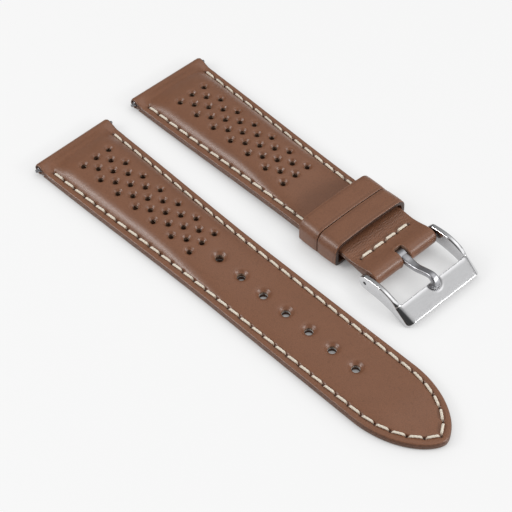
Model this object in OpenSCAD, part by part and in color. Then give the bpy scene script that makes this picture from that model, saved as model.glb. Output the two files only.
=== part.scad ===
// Perforated rally watch strap: two stitched leather halves and a pin buckle.
// Millimetres. +X runs from the watch ends towards the buckle and the tip, and +Z is up.
// The origin is the middle of the footprint of the pair, on the surface that they lie on.

/* [Strap] */
// Width of the leather at the watch
lug_w = 21.8; // [20:0.1:24]
// Width of the leather past the taper
strap_w = 19.4; // [17:0.1:20]
// Length over which the leather narrows
taper_len = 60; // [50:1:64]
// Watch end to the axis of the buckle bar
short_len = 80.3; // [78:0.1:90]
// Watch end to the tip of the tail
tail_len = 118.5; // [114:0.5:130]
// Length of the pointed tip
tip_len = 17.5; // [14:0.5:20]
// How the sides of the tip close in, lower is fuller
tip_power = 0.62; // [0.55:0.01:0.7]

/* [Leather layers] */
// Thickness of the top leather
upper_t = 1.0; // [0.9:0.05:1.3]
// Thickness of the turned-back flap at the buckle end
flap_t = 0.7; // [0.5:0.05:0.9]
// Length of the turned-back flap, from the buckle bar
flap_len = 15; // [13:0.5:16]
// Thickness of the skived leather at the watch end
skive_t = 0.62; // [0.5:0.02:0.8]
// Length of the flap turned back at the watch end
watch_flap_len = 7; // [6:0.5:9]
// Thickness of the lining leather
lining_t = 0.8; // [0.75:0.05:1.2]
// Thickness of the stay tape
tape_t = 0.25; // [0.15:0.05:0.3]
// Width of the stay tape
tape_w = 8; // [5:0.5:10]
// Film of glue between two layers
glue = 0.03; // [0.02:0.01:0.04]

/* [Padding] */
// Rise of the padded crown above the flat edge
pad_rise = 2.4; // [1.8:0.1:2.5]
// Rise of the crown along the buckle holes
tail_rise = 0.55; // [0.5:0.05:0.8]
// Width of the flat edge beside the crown
edge_flat = 2.55; // [2.3:0.05:3]
// Start of the crown behind the watch end
crown_start = 4.4; // [4.2:0.1:5]
// Length over which the crown comes up
crown_nose = 5.5; // [4:0.5:7]
// Station where the crown starts to fade
fade_start = 33; // [24:1:34]
// Length of the fade on the tail half
tail_fade = 35; // [30:1:40]
// Shape of the crown across the strap, higher is squarer
crown_power = 2.6; // [2.2:0.1:3]

/* [Perforations] */
// Diameter of a perforation
perf_d = 1.3; // [1:0.1:1.5]
// Spacing of the perforations along a row
perf_pitch = 6.0; // [5:0.1:6.2]
// Spacing of the rows
perf_row_gap = 1.93; // [1.8:0.01:2.2]
// Holes in the outer and middle rows
perf_n = 7; // [5:1:7]
// Number of rows
perf_rows = 5; // [3:2:5]
// First perforation on the tail half
tail_perf_start = 9.6; // [9:0.1:12]
// First perforation on the buckle half
short_perf_start = 10.5; // [9:0.1:12]

/* [Buckle holes] */
// Diameter of a buckle hole
hole_d = 2.0; // [1.7:0.1:2.4]
// Number of buckle holes
hole_n = 7; // [5:1:8]
// Spacing of the buckle holes
hole_pitch = 6.95; // [6:0.05:7.4]
// Watch end to the first buckle hole
first_hole = 51.3; // [50:0.1:54]

/* [Stitching] */
// Diameter of a run of thread at its middle
thread_d = 0.62; // [0.5:0.02:0.66]
// Spacing of the stitches
stitch_pitch = 3.6; // [3.3:0.1:4.2]
// Length of one visible run of thread
stitch_run = 2.9; // [2.4:0.1:3]
// Edge of the leather to the row
stitch_in = 1.75; // [1.5:0.05:1.85]
// Watch end to the first stitch hole
first_stitch = 4.9; // [4.8:0.1:6]
// Space between the last stitch of the buckle half and the loose keeper
last_stitch_gap = 0.6; // [0.3:0.1:2]
// Runs in the cross row by the buckle
cross_n = 4; // [3:1:4]
// Spacing of the runs in the cross row
cross_pitch = 3.95; // [3.6:0.05:4.2]
// Length of a run in the cross row
cross_run = 3.2; // [2.8:0.1:3.4]
// Cross row to the axis of the buckle bar
cross_back = 5.0; // [4.9:0.1:6]
// Depth of the channel that holds the under thread
channel_depth = 0.64; // [0.62:0.01:0.68]
// Width of that channel
channel_w = 0.84; // [0.8:0.02:1]

/* [Keepers] */
// Length of a keeper along the strap
keeper_w = 5.8; // [4:0.1:6.2]
// Thickness of the keeper leather
keeper_t = 1.15; // [0.9:0.05:1.4]
// Room beside the strap inside a keeper
keeper_side = 0.3; // [0.3:0.05:0.5]
// Room under the strap in the loose keeper
keeper_under = 0.12; // [0.1:0.01:0.2]
// Height inside a keeper, from the underside of the strap
keeper_room = 4.35; // [4.2:0.05:5.5]
// Crown of the top of a keeper
keeper_crown = 0.35; // [0.1:0.05:0.6]
// Radius of the outer corners of a keeper
keeper_r = 2.3; // [1.8:0.1:2.6]
// Fixed keeper to the axis of the buckle bar
keeper_back = 9.4; // [8.5:0.1:12]
// Gap between the two keepers at rest
keeper_gap = 0.12; // [0.1:0.01:0.5]

/* [Spring bars] */
// Outside diameter of a bar tube
bar_d = 1.8; // [1.7:0.02:1.9]
// Wall of a bar tube
bar_wall = 0.18; // [0.16:0.01:0.2]
// Crimped lip at each end of a tube
lip_t = 0.4; // [0.3:0.05:0.5]
// Diameter of the slim tip of a plunger
tip_d = 0.8; // [0.74:0.02:0.84]
// Diameter of the neck that runs through the lip
neck_d = 1.12; // [1.08:0.02:1.16]
// Running clearance between round parts, on the radius
run_fit = 0.05; // [0.03:0.01:0.06]
// How far a watch-end tube stops inside the leather
bar_inset = 0.35; // [0.2:0.05:0.5]
// Length of the slim tip past the leather
tip_out = 0.9; // [0.7:0.05:0.95]
// How far a plunger can be pushed in
tip_travel = 1.05; // [1:0.01:1.1]
// Length of the plunger head that slides in the tube
head_len = 1.6; // [1.2:0.1:3]
// Diameter of the spring wire
wire_d = 0.2; // [0.16:0.01:0.22]
// Pitch of the spring coils
coil_pitch = 0.95; // [0.8:0.05:1]
// Wall of leather round the watch-end bar
roll_wall = 0.45; // [0.4:0.05:0.6]

/* [Buckle] */
// Space between the arms of the buckle
buckle_in_w = 20.3; // [18:0.1:22]
// Thickness of an arm
arm_t = 1.2; // [1:0.05:1.4]
// Radius of the round end of an arm
ear_r = 1.75; // [1.6:0.05:1.9]
// Bar axis to the inner edge of the crossbar
reach = 9.8; // [9:0.1:12]
// Width of the sloping face of the crossbar
face_w = 4.9; // [4.2:0.1:5.2]
// Slope of that face in degrees
face_slope = 31; // [28:1:34]
// Thickness of the crossbar across its face
face_t = 1.7; // [1.5:0.05:1.9]
// Width of the bevel at each end of the crossbar
end_bevel = 1.2; // [0.8:0.1:1.3]
// Width of the notch for the tongue
notch_w = 2.7; // [2.5:0.1:3]
// Depth of that notch along the face
notch_len = 1.9; // [1.5:0.1:2.2]

/* [Tongue] */
// Width of the tongue at the bar
root_w = 2.2; // [2:0.05:2.3]
// Width of the shank of the tongue
shank_w = 1.6; // [1.4:0.05:1.9]
// Thickness of the tongue
tongue_t = 1.5; // [1.3:0.05:1.55]
// Wall of the eye round the bar
eye_wall = 0.6; // [0.5:0.05:0.65]
// Space on each side of the tongue in its slot
slot_side = 0.35; // [0.3:0.05:0.5]

/* [Lie of the pair] */
// Watch end of the tail half ahead of the other one
tail_x = 1.3; // [0:0.1:6]
// Centreline of the tail half beside the other one
tail_y = -30.5; // [-40:0.1:-26]
// Turn of the tail half in plan, in degrees
tail_turn = 1.6; // [0:0.1:3]

/* [Hidden] */

$fn = 48;
leather_colour = [0.45, 0.31, 0.24];
lining_colour = [0.50, 0.36, 0.28];
thread_colour = [0.90, 0.84, 0.74];
steel_colour = [0.78, 0.78, 0.80];

function smooth(t) = let (c = min(1, max(0, t))) c * c * (3 - 2 * c);
function mix(a, b, t) = a + (b - a) * t;
function polar(c, r, a) = [c.x + r * cos(a), c.y + r * sin(a)];

// Heights of the flat edge, measured from the underside of a strap half
flap_z = lining_t + glue;
rim_z = flap_z + upper_t;
tunnel_r = bar_d / 2 + run_fit;
roll_r = tunnel_r + roll_wall;
roll_c = [roll_r, roll_r];
roll_run = 3.2;
watch_flap_t = 0.35;
watch_flap_z = flap_z + watch_flap_t;

// The fold round the buckle bar is as thick as two layers and the bar
fold_r = tunnel_r + upper_t + 0.09;
bar_c = [short_len, fold_r];
fold_run = 4.4;
buckle_flap_z = flap_z + flap_t;
flap_end = short_len - flap_len;
flap_step = 2.8;

// Plan of a strap half
function half_w(x) = mix(lug_w, strap_w, smooth(x / taper_len)) / 2;
tip_start = tail_len - tip_len;
function tip_half_w(x) = strap_w / 2 * pow(max(0, 1 - pow((x - tip_start) / tip_len, 2)), tip_power);
function tail_half_w(x) = x > tip_start ? tip_half_w(x) : half_w(x);
function plan_w(x, tail) = tail ? tail_half_w(x) : half_w(x);
function crown_w(x, tail) = let (w = plan_w(x, tail)) max(w - edge_flat, 0.4 * w);

// Height of the top leather where there is no padding
function roll_lift(x) = (2 * roll_r - rim_z) * (1 - smooth((x - roll_r) / roll_run));
function flap_lift(x) = (flap_t + glue) * smooth((x - flap_end + flap_step + 0.2) / flap_step);
function fold_lift(x) = (2 * fold_r - rim_z - flap_t - glue) * smooth((x - short_len + fold_run) / fold_run);
function base_z(x, tail) = rim_z + roll_lift(x) + (tail ? 0 : flap_lift(x) + fold_lift(x));

// Rise of the crown along the strap and across it
short_fade = flap_end - flap_step - fade_start;
tip_fade = 11;
tip_flat = 3;
nose_power = 2.2;
function crown_nose_off(x) = pow(1 - min(1, max(0, (x - crown_start) / crown_nose)), nose_power);
function short_crown(x) = pad_rise * (1 - smooth((x - fade_start) / short_fade));
function tail_crown(x) = mix(pad_rise, tail_rise, smooth((x - fade_start) / tail_fade))
    * (1 - smooth((x - tail_len + tip_fade + tip_flat) / tip_fade));
function crown(x, tail) = tail ? tail_crown(x) : short_crown(x);
function across(x, u) = x < crown_start || abs(u) > 1 ? 0 : max(0, 1 - pow(abs(u), crown_power) - crown_nose_off(x));
function top_z(x, u, tail) = base_z(x, tail) + crown(x, tail) * across(x, u);

// The flaps rise to the middle of their bar, where the turned leather meets itself
function watch_flap_top(x) = mix(roll_r - glue, watch_flap_z, smooth((x - tunnel_r - roll_r) / 1.6));
function buckle_flap_top(x) = mix(buckle_flap_z, fold_r - glue, smooth((x - short_len + fold_run) / (fold_run - tunnel_r)));
function sheet_t(x) = mix(skive_t, upper_t, smooth((x - watch_flap_len + 0.2) / 1.2));
function under_z(x, u, tail) =
    x < watch_flap_len ? max(watch_flap_top(x) + glue, top_z(x, u, tail) - skive_t)
    : !tail && x > flap_end - 0.1 ? buckle_flap_top(x) + glue
    : top_z(x, u, tail) - sheet_t(x);

// Columns across a half: the two edges, and steps of the crown between them
steps_across = [-1, -0.9, -0.7, -0.4, 0, 0.4, 0.7, 0.9, 1];
columns = concat([-2], steps_across, [2]);
function column_y(x, u, tail) = abs(u) > 1 ? sign(u) * plan_w(x, tail) : u * crown_w(x, tail);

// Stations along the top of a half
crown_full = crown_start + crown_nose;
roll_end = roll_r + roll_run;
front_stations = concat(
    [mix(roll_r, crown_start, 0.35), mix(roll_r, crown_start, 0.7), crown_start],
    [for (i = [1:4]) crown_start + crown_nose * (1 - cos(i * 22.5))]);
short_stations = concat(front_stations,
    [for (i = [1:9]) mix(crown_full, flap_end - flap_step - 0.2, i / 9)],
    [for (i = [1:3]) mix(flap_end - flap_step - 0.2, flap_end, i / 3)],
    [for (i = [0:5]) mix(short_len - fold_run, short_len - 0.3, i / 5.5)]);
tip_angles = [14, 28, 40, 51, 61, 70, 77.5, 83.5, 87.5];
tail_stations = concat(front_stations,
    [for (i = [1:14]) mix(crown_full, tip_start, i / 14)],
    [for (a = tip_angles) tip_start + tip_len * sin(a)]);

// Side view of a half as pairs of [grain side, flesh side], from flap to flap
function watch_turn(n) = concat(
    [[[watch_flap_len, flap_z], [watch_flap_len, watch_flap_z]],
     [[roll_r + tunnel_r + 1.7, flap_z], [roll_r + tunnel_r + 1.6, watch_flap_z]],
     [[roll_r + tunnel_r + 0.7, 0.6 * flap_z], [roll_r + tunnel_r + 0.1, roll_r - glue]]],
    [for (i = [0:n]) [polar(roll_c, roll_r, mix(-60, -270, i / n)), polar(roll_c, tunnel_r / 2, mix(-20, -340, i / n))]]);
function buckle_turn(n) = concat(
    [for (i = [0:n]) [polar(bar_c, fold_r, mix(90, -90, i / n)), polar(bar_c, tunnel_r / 2, mix(160, -160, i / n))]],
    [for (d = [1.4, 2.6, 3.9]) [[short_len - d, flap_z * smooth((d - 0.2) / 3.6)], [short_len - d, buckle_flap_top(short_len - d)]]],
    [[[flap_end, flap_z], [flap_end, buckle_flap_z]]]);
function along(stations, u, tail) = [for (x = stations) [[x, top_z(x, u, tail)], [x, under_z(x, u, tail)]]];
function side_pairs(u, tail) = concat(watch_turn(7),
    along(tail ? tail_stations : short_stations, u, tail), tail ? [] : buckle_turn(6));

// Skin of a sheet given as columns of [outer, inner] points
module sheet_solid(outer, inner) {
    m = len(outer);
    k = len(outer[0]);
    points = concat([for (c = outer) each c], [for (c = inner) each c]);
    function o(j, i) = j * k + i;
    function n(j, i) = m * k + j * k + i;
    faces = concat(
        [for (j = [0:m - 2], i = [0:k - 2]) each [[o(j, i), o(j + 1, i), o(j, i + 1)], [o(j, i + 1), o(j + 1, i), o(j + 1, i + 1)]]],
        [for (j = [0:m - 2], i = [0:k - 2]) each [[n(j, i), n(j, i + 1), n(j + 1, i)], [n(j, i + 1), n(j + 1, i + 1), n(j + 1, i)]]],
        [for (i = [0:k - 2]) each [[o(0, i), o(0, i + 1), n(0, i)], [n(0, i), o(0, i + 1), n(0, i + 1)]]],
        [for (i = [0:k - 2]) each [[o(m - 1, i), n(m - 1, i), o(m - 1, i + 1)], [n(m - 1, i), n(m - 1, i + 1), o(m - 1, i + 1)]]],
        [for (j = [0:m - 2]) each [[o(j, 0), n(j, 0), o(j + 1, 0)], [n(j, 0), n(j + 1, 0), o(j + 1, 0)]]],
        [for (j = [0:m - 2]) each [[o(j, k - 1), o(j + 1, k - 1), n(j, k - 1)], [n(j, k - 1), o(j + 1, k - 1), n(j + 1, k - 1)]]]);
    polyhedron(points, faces);
}

module leather_sheet(tail) {
    sides = [for (u = columns) side_pairs(u, tail)];
    sheet_solid(
        [for (j = [0:len(columns) - 1]) [for (p = sides[j]) [p[0].x, column_y(p[0].x, columns[j], tail), p[0].y]]],
        [for (j = [0:len(columns) - 1]) [for (p = sides[j]) [p[1].x, column_y(p[1].x, columns[j], tail), p[1].y]]]);
}

// Padding fills the crown, down to the stay tape
pad_floor = flap_z + tape_t + glue;
pad_edge = pad_floor - flap_z + glue + 0.08;
pad_start = watch_flap_len + 0.8;
function pad_reach(x, tail) = let (spare = 1 - crown_nose_off(x) - pad_edge / crown(x, tail))
    crown_w(x, tail) * pow(max(0.1, spare), 1 / crown_power);
function pad_u(x, v, tail) = v * pad_reach(x, tail) / crown_w(x, tail);
short_pad_end = mix(fade_start, fade_start + short_fade, 0.66);
tail_pad_end = tail_len - tip_fade - tip_flat - 1;
module padding(tail) {
    stop = tail ? tail_pad_end : short_pad_end;
    n = tail ? 15 : 9;
    stations = [for (i = [0:n]) mix(pad_start, stop, i / n)];
    steps = [-1, -0.8, -0.5, 0, 0.5, 0.8, 1];
    sheet_solid(
        [for (v = steps) [for (x = stations) [x, v * pad_reach(x, tail), top_z(x, pad_u(x, v, tail), tail) - sheet_t(x) - glue]]],
        [for (v = steps) [for (x = stations) [x, v * pad_reach(x, tail), pad_floor]]]);
}

// Holes through a half
module perforations(start, z0, z1) {
    for (row = [0:perf_rows - 1]) {
        odd = row % 2;
        for (i = [0:perf_n - 1 - odd])
            translate([start + (i + odd / 2) * perf_pitch, (row - (perf_rows - 1) / 2) * perf_row_gap, z0])
                cylinder(d = perf_d, h = z1 - z0);
    }
}
module buckle_holes() {
    for (i = [0:hole_n - 1])
        translate([first_hole + i * hole_pitch, 0, -1])
            cylinder(d = hole_d, h = 9);
}
module tunnel(c, w) {
    translate([c.x, -w, c.y])
        rotate([-90, 0, 0])
            cylinder(r = tunnel_r, h = 2 * w);
}

// Plan outlines, as half outlines mirrored about the centreline
lining_start = roll_r + tunnel_r + 1.85;
lining_stop = short_len - fold_run + 0.1;
short_edge = [for (i = [0:12]) let (x = mix(lining_start, lining_stop, i / 12)) [x, half_w(x)]];
tail_edge = concat(
    [for (i = [0:14]) let (x = mix(lining_start, tip_start, i / 14)) [x, tail_half_w(x)]],
    [for (a = tip_angles) let (x = tip_start + tip_len * sin(a)) [x, tail_half_w(x)]]);
function mirrored(points) = concat(points, [for (i = [len(points) - 1:-1:0]) [points[i].x, -points[i].y]]);

// Rows of stitches, set in from the edge by the same distance all along
function edge_slope(x) = (tail_half_w(x + 0.05) - tail_half_w(x - 0.05)) / 0.1;
function inset_point(x, d) = let (s = edge_slope(x), q = sqrt(1 + s * s)) [x + d * s / q, tail_half_w(x) - d / q];
function tail_row(d) = let (
    straight = [for (i = [0:12]) let (x = mix(first_stitch, tip_start, i / 12)) [x, tail_half_w(x) - d]],
    round_part = [for (a = [10:8:82]) let (p = inset_point(tip_start + tip_len * sin(a), d)) if (p.y > 0.9 * d) p],
    last = round_part[len(round_part) - 1])
    concat(straight, round_part, [[last.x + last.y * 0.62, 0]]);
short_row_stop = short_len - keeper_back - 2 * keeper_w - keeper_gap - last_stitch_gap;
function short_row(d) = [for (i = [0:12]) let (x = mix(first_stitch, short_row_stop, i / 12)) [x, half_w(x) - d]];
function steps_of(row) = [for (i = 0, s = 0; i < len(row);
    s = s + (i + 1 < len(row) ? norm(row[i + 1] - row[i]) : 0), i = i + 1) s];
function at_length(row, steps, s) = [
    lookup(s, [for (i = [0:len(row) - 1]) [steps[i], row[i].x]]),
    lookup(s, [for (i = [0:len(row) - 1]) [steps[i], row[i].y]])];

// A run of thread is full in the middle and drawn in where it dives into its holes
module thread_run(length) {
    r = thread_d / 2;
    rotate([0, 90, 0])
        rotate_extrude($fn = 24)
            polygon([[0, -length / 2], [0.4 * r, -length / 2], [r, -length / 4],
                [r, length / 4], [0.4 * r, length / 2], [0, length / 2]]);
}

// One side of a row; the two sides of the tail meet in a point at the tip
module stitch_row(row, z) {
    steps = steps_of(row);
    total = steps[len(steps) - 1];
    n = round(total / stitch_pitch);
    pitch = total / n;
    for (i = [0:n - 1], side = [-1, 1]) {
        a = at_length(row, steps, (i + 0.1) * pitch);
        b = at_length(row, steps, (i + 0.9) * pitch);
        translate([(a.x + b.x) / 2, side * (a.y + b.y) / 2, z])
            rotate([0, 0, side * atan2(b.y - a.y, b.x - a.x)])
                thread_run(min(stitch_run, 0.84 * pitch));
    }
}
module channel(row) {
    for (side = [-1, 1])
        translate([0, 0, -1])
            linear_extrude(channel_depth + 1)
                polygon(concat(
                    [for (p = row(stitch_in - channel_w / 2)) [p.x, side * p.y]],
                    [for (q = reversed(row(stitch_in + channel_w / 2))) [q.x, side * q.y]]));
}
function reversed(list) = [for (i = [len(list) - 1:-1:0]) list[i]];
top_thread_z = rim_z + thread_d / 2 + 0.02;
under_thread_z = thread_d / 2 + 0.01;

// Where the two halves lie; the buckle half slopes up from its watch end over the loose keeper
keeper_low = keeper_under + keeper_t;
fixed_keeper_x = short_len - keeper_back - keeper_w;
loose_keeper_x = fixed_keeper_x - keeper_gap - keeper_w;
keeper_arm = [loose_keeper_x - roll_r, keeper_low + roll_r];
lift = atan2(keeper_arm.y, keeper_arm.x) - asin(roll_r / norm(keeper_arm));
near_reach = lug_w / 2 + tip_out;
x_high = tail_x + (tail_len + 0.01) * cos(tail_turn);
x_low = -0.02;
y_high = near_reach;
y_low = tail_y - near_reach * cos(tail_turn) + roll_r * sin(tail_turn);
middle = [(x_high + x_low) / 2, (y_high + y_low) / 2];

module short_place() {
    translate([-middle.x, -middle.y, 0])
        translate([roll_r, 0, roll_r])
            rotate([0, -lift, 0])
                translate([-roll_r, 0, -roll_r])
                    children();
}
module tail_place() {
    translate([tail_x - middle.x, tail_y - middle.y, 0])
        rotate([0, 0, tail_turn])
            children();
}

// The slot in the fold clears the eye of the tongue all round
eye_r = tunnel_r + eye_wall;
slot_r = root_w / 2 + slot_side;
slot_back = eye_r + slot_side - slot_r + root_w / 4;
module short_top_leather() {
    color(leather_colour) short_place() difference() {
        leather_sheet(false);
        tunnel(roll_c, lug_w);
        tunnel(bar_c, lug_w);
        perforations(short_perf_start, 0, 9);
        translate([short_len - slot_back, 0, -2]) cylinder(r = slot_r, h = 10);
        translate([short_len - slot_back, -slot_r, -2]) cube([slot_back + 2 * fold_r, 2 * slot_r, 10]);
    }
}
module short_lining() {
    color(lining_colour) short_place() difference() {
        linear_extrude(lining_t) polygon(mirrored(short_edge));
        channel(function(d) short_row(d));
        cross_channel();
    }
}
module cross_channel() {
    w = cross_n * cross_pitch + 0.4;
    translate([short_len - cross_back - channel_w / 2, -w / 2, -1])
        cube([channel_w, w, channel_depth + 1]);
}

module short_padding() {
    color("tan") short_place() difference() {
        padding(false);
        perforations(short_perf_start, 0, 9);
    }
}

module stay_tape(stop) {
    start = pad_start + tape_w / 2;
    translate([0, 0, flap_z])
        linear_extrude(tape_t)
            union() {
                translate([start, -tape_w / 2]) square([stop - start - tape_w / 2, tape_w]);
                translate([start, 0]) circle(d = tape_w);
                translate([stop - tape_w / 2, 0]) circle(d = tape_w);
            }
}
module short_stay_tape() {
    color("white") short_place() stay_tape(short_pad_end);
}

module short_top_stitches() {
    color(thread_colour) short_place() stitch_row(short_row(stitch_in), top_thread_z);
}
module short_under_stitches() {
    color(thread_colour) short_place() stitch_row(short_row(stitch_in), under_thread_z);
}
module cross_stitches() {
    color(thread_colour) short_place()
        for (i = [0:cross_n - 1], z = [buckle_flap_z + upper_t + glue + thread_d / 2 + 0.03, under_thread_z])
            translate([short_len - cross_back, (i - (cross_n - 1) / 2) * cross_pitch, z])
                rotate([0, 0, 90])
                    thread_run(cross_run);
}

// A keeper is a closed band, flat below, with a crowned top and round shoulders
keeper_foot_r = 0.3;
module band_outline(grow) {
    w = strap_w / 2 + keeper_side + grow;
    low = -keeper_under - grow;
    high = keeper_room + grow;
    r = max(keeper_foot_r, keeper_r - keeper_t) + grow;
    foot = keeper_foot_r + grow;
    function crown_at(y) = high + keeper_crown * (1 - pow(y / w, 2));
    top = [for (i = [0:8]) let (y = mix(w - r, -w + r, i / 8)) [y, crown_at(y)]];
    corner_z = crown_at(w - r) - r;
    polygon(concat(
        top,
        [for (a = [105:15:180]) polar([-w + r, corner_z], r, a)],
        [for (a = [180:15:270]) polar([-w + foot, low + foot], foot, a)],
        [for (a = [270:15:360]) polar([w - foot, low + foot], foot, a)],
        [for (a = [0:15:75]) polar([w - r, corner_z], r, a)]));
}
module keeper_band(x) {
    translate([x, 0, 0])
        rotate([90, 0, 90])
            linear_extrude(keeper_w)
                difference() {
                    band_outline(keeper_t);
                    band_outline(0);
                }
}
module fixed_keeper() {
    color(leather_colour) short_place() keeper_band(fixed_keeper_x);
}
module loose_keeper() {
    color(leather_colour) short_place() keeper_band(loose_keeper_x);
}

// Spring bars: a tube with crimped lips, two plungers, and a spring between them
bore_r = bar_d / 2 - bar_wall;
neck_r = neck_d / 2;
tip_r = tip_d / 2;
head_r = bore_r - run_fit;
module on_bar(c) {
    translate([c.x, 0, c.y])
        rotate([-90, 0, 0])
            children();
}
module bar_tube(half) {
    difference() {
        translate([0, 0, -half]) cylinder(d = bar_d, h = 2 * half);
        translate([0, 0, -half + lip_t]) cylinder(r = bore_r, h = 2 * (half - lip_t));
        translate([0, 0, -half - 1]) cylinder(r = neck_r + run_fit, h = 2 * half + 2);
    }
}
head_play = 0.02;
spring_play = 0.1;
stem_len = 1;
tip_chamfer = 0.12;
module plunger(half, shoulder, reach_to) {
    head_top = half - lip_t - head_play;
    rotate_extrude()
        polygon([[0, head_top - head_len - stem_len], [head_r / 2, head_top - head_len - stem_len], [head_r / 2, head_top - head_len],
            [head_r, head_top - head_len], [head_r, head_top], [neck_r, head_top], [neck_r, shoulder],
            [tip_r, shoulder], [tip_r, reach_to - tip_chamfer], [tip_r - tip_chamfer, reach_to], [0, reach_to]]);
}
module bar_spring(half) {
    room = half - lip_t - head_play - head_len - tip_travel - spring_play;
    turns = floor((2 * room - wire_d) / coil_pitch);
    r = bore_r - run_fit - wire_d / 2;
    rings = turns * 8;
    length = turns * coil_pitch;
    function centre(i) = [r * cos(i * 45), r * sin(i * 45), mix(-length / 2, length / 2, i / rings)];
    function ring(i) = let (c = centre(i), out = [cos(i * 45), sin(i * 45), 0])
        [for (a = [0:60:300]) c + wire_d / 2 * (cos(a) * out + [0, 0, sin(a)])];
    points = [for (i = [0:rings]) each ring(i)];
    faces = concat([[for (a = [5:-1:0]) a]], [[for (a = [0:5]) rings * 6 + a]],
        [for (i = [0:rings - 1], a = [0:5]) let (b = (a + 1) % 6, p = i * 6, q = p + 6)
            each [[p + a, p + b, q + a], [p + b, q + b, q + a]]]);
    polyhedron(points, faces);
}

watch_half = lug_w / 2 - bar_inset;
watch_shoulder = lug_w / 2 + 0.02;
watch_tip = lug_w / 2 + tip_out;
buckle_half = strap_w / 2 - bar_inset + 0.1;
buckle_shoulder = strap_w / 2 + 0.2;
buckle_tip = buckle_in_w / 2 + 0.8 * arm_t;

module short_bar_tube() {
    color(steel_colour) short_place() on_bar(roll_c) bar_tube(watch_half);
}
module short_bar_spring() {
    color(steel_colour) short_place() on_bar(roll_c) bar_spring(watch_half);
}
module short_bar_far_tip() {
    color(steel_colour) short_place() on_bar(roll_c) plunger(watch_half, watch_shoulder, watch_tip);
}
module short_bar_near_tip() {
    color(steel_colour) short_place() on_bar(roll_c) mirror([0, 0, 1]) plunger(watch_half, watch_shoulder, watch_tip);
}
module tail_bar_tube() {
    color(steel_colour) tail_place() on_bar(roll_c) bar_tube(watch_half);
}
module tail_bar_spring() {
    color(steel_colour) tail_place() on_bar(roll_c) bar_spring(watch_half);
}
module tail_bar_far_tip() {
    color(steel_colour) tail_place() on_bar(roll_c) plunger(watch_half, watch_shoulder, watch_tip);
}
module tail_bar_near_tip() {
    color(steel_colour) tail_place() on_bar(roll_c) mirror([0, 0, 1]) plunger(watch_half, watch_shoulder, watch_tip);
}
module buckle_bar_tube() {
    color(steel_colour) short_place() on_bar(bar_c) bar_tube(buckle_half);
}
module buckle_bar_spring() {
    color(steel_colour) short_place() on_bar(bar_c) bar_spring(buckle_half);
}
module buckle_bar_far_tip() {
    color(steel_colour) short_place() on_bar(bar_c) plunger(buckle_half, buckle_shoulder, buckle_tip);
}
module buckle_bar_near_tip() {
    color(steel_colour) short_place() on_bar(bar_c) mirror([0, 0, 1]) plunger(buckle_half, buckle_shoulder, buckle_tip);
}

// Buckle frame: two arched arms and a sloping crossbar, drawn in side view round the bar axis
face_dir = [cos(face_slope), -sin(face_slope)];
face_down = [-sin(face_slope), -cos(face_slope)];
bar_height = roll_r + (fold_r - roll_r) * cos(lift) + (short_len - roll_r) * sin(lift);
// The crossbar hangs so low that its outer corner all but rests on the surface below
foot_gap = 0.1;
foot_x = reach + face_w * face_dir.x + face_t * face_down.x;
foot_z = -(bar_height - foot_gap + foot_x * sin(lift)) / cos(lift);
outer_low = [foot_x, foot_z];
outer_top = outer_low - face_t * face_down;
face_inner = outer_top - face_w * face_dir;
module side_extrude(w) {
    translate([bar_c.x, 0, bar_c.y])
        rotate([90, 0, 0])
            translate([0, 0, -w / 2])
                linear_extrude(w)
                    children();
}
arm_top = ear_r + 0.15;
function arch(t) = let (x = mix(0, reach, t)) [x, mix(ear_r, face_inner.y, t) + arm_top * 0.5 * sin(180 * t)];
function belly(t) = let (x = mix(outer_low.x - 1.2, 0, t))
    [x, mix(outer_low.y, -ear_r, t) + 0.55 * sin(180 * t) * (1 - 0.3 * t)];
module arm_shape() {
    circle(r = ear_r);
    polygon(concat([for (i = [0:8]) arch(i / 8)], [outer_top, outer_low], [for (i = [0:8]) belly(i / 8)]));
}
module crossbar_shape() {
    polygon([face_inner, outer_top, outer_low, face_inner + face_t * face_down]);
}
module buckle_frame() {
    outer_w = buckle_in_w + 2 * arm_t;
    color(steel_colour) short_place() difference() {
        union() {
            side_extrude(outer_w) crossbar_shape();
            for (side = [-1, 1])
                translate([0, side * (buckle_in_w + arm_t) / 2, 0])
                    side_extrude(arm_t) arm_shape();
        }
        on_bar(bar_c) translate([0, 0, -buckle_in_w]) cylinder(r = tip_r + run_fit, h = 2 * buckle_in_w);
        tongue_notch();
        for (side = [0, 1]) mirror([0, side, 0]) end_cut(outer_w / 2);
    }
}
// The notch is cut square into the face, with a round end
notch_drop = 0.75;
module tongue_notch() {
    translate([bar_c.x + face_inner.x, 0, bar_c.y + face_inner.y])
        rotate([0, face_slope, 0])
            translate([notch_len - notch_w / 2, 0, -notch_drop]) {
                cylinder(d = notch_w, h = 4);
                translate([-8, -notch_w / 2, 0]) cube([8, notch_w, 4]);
            }
}
// Slanting cut that bevels the end of the sloping face, a little wider at its outer corner
bevel_slant = 45;
bevel_turn = 7;
module end_cut(edge_y) {
    translate([bar_c.x + outer_top.x, edge_y, bar_c.y + outer_top.y])
        rotate([0, face_slope, 0])
            rotate([0, 0, -bevel_turn])
                translate([-2 * face_w, -end_bevel, 0])
                    rotate([-bevel_slant, 0, 0])
                        cube([4 * face_w, 6, 6]);
}

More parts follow.
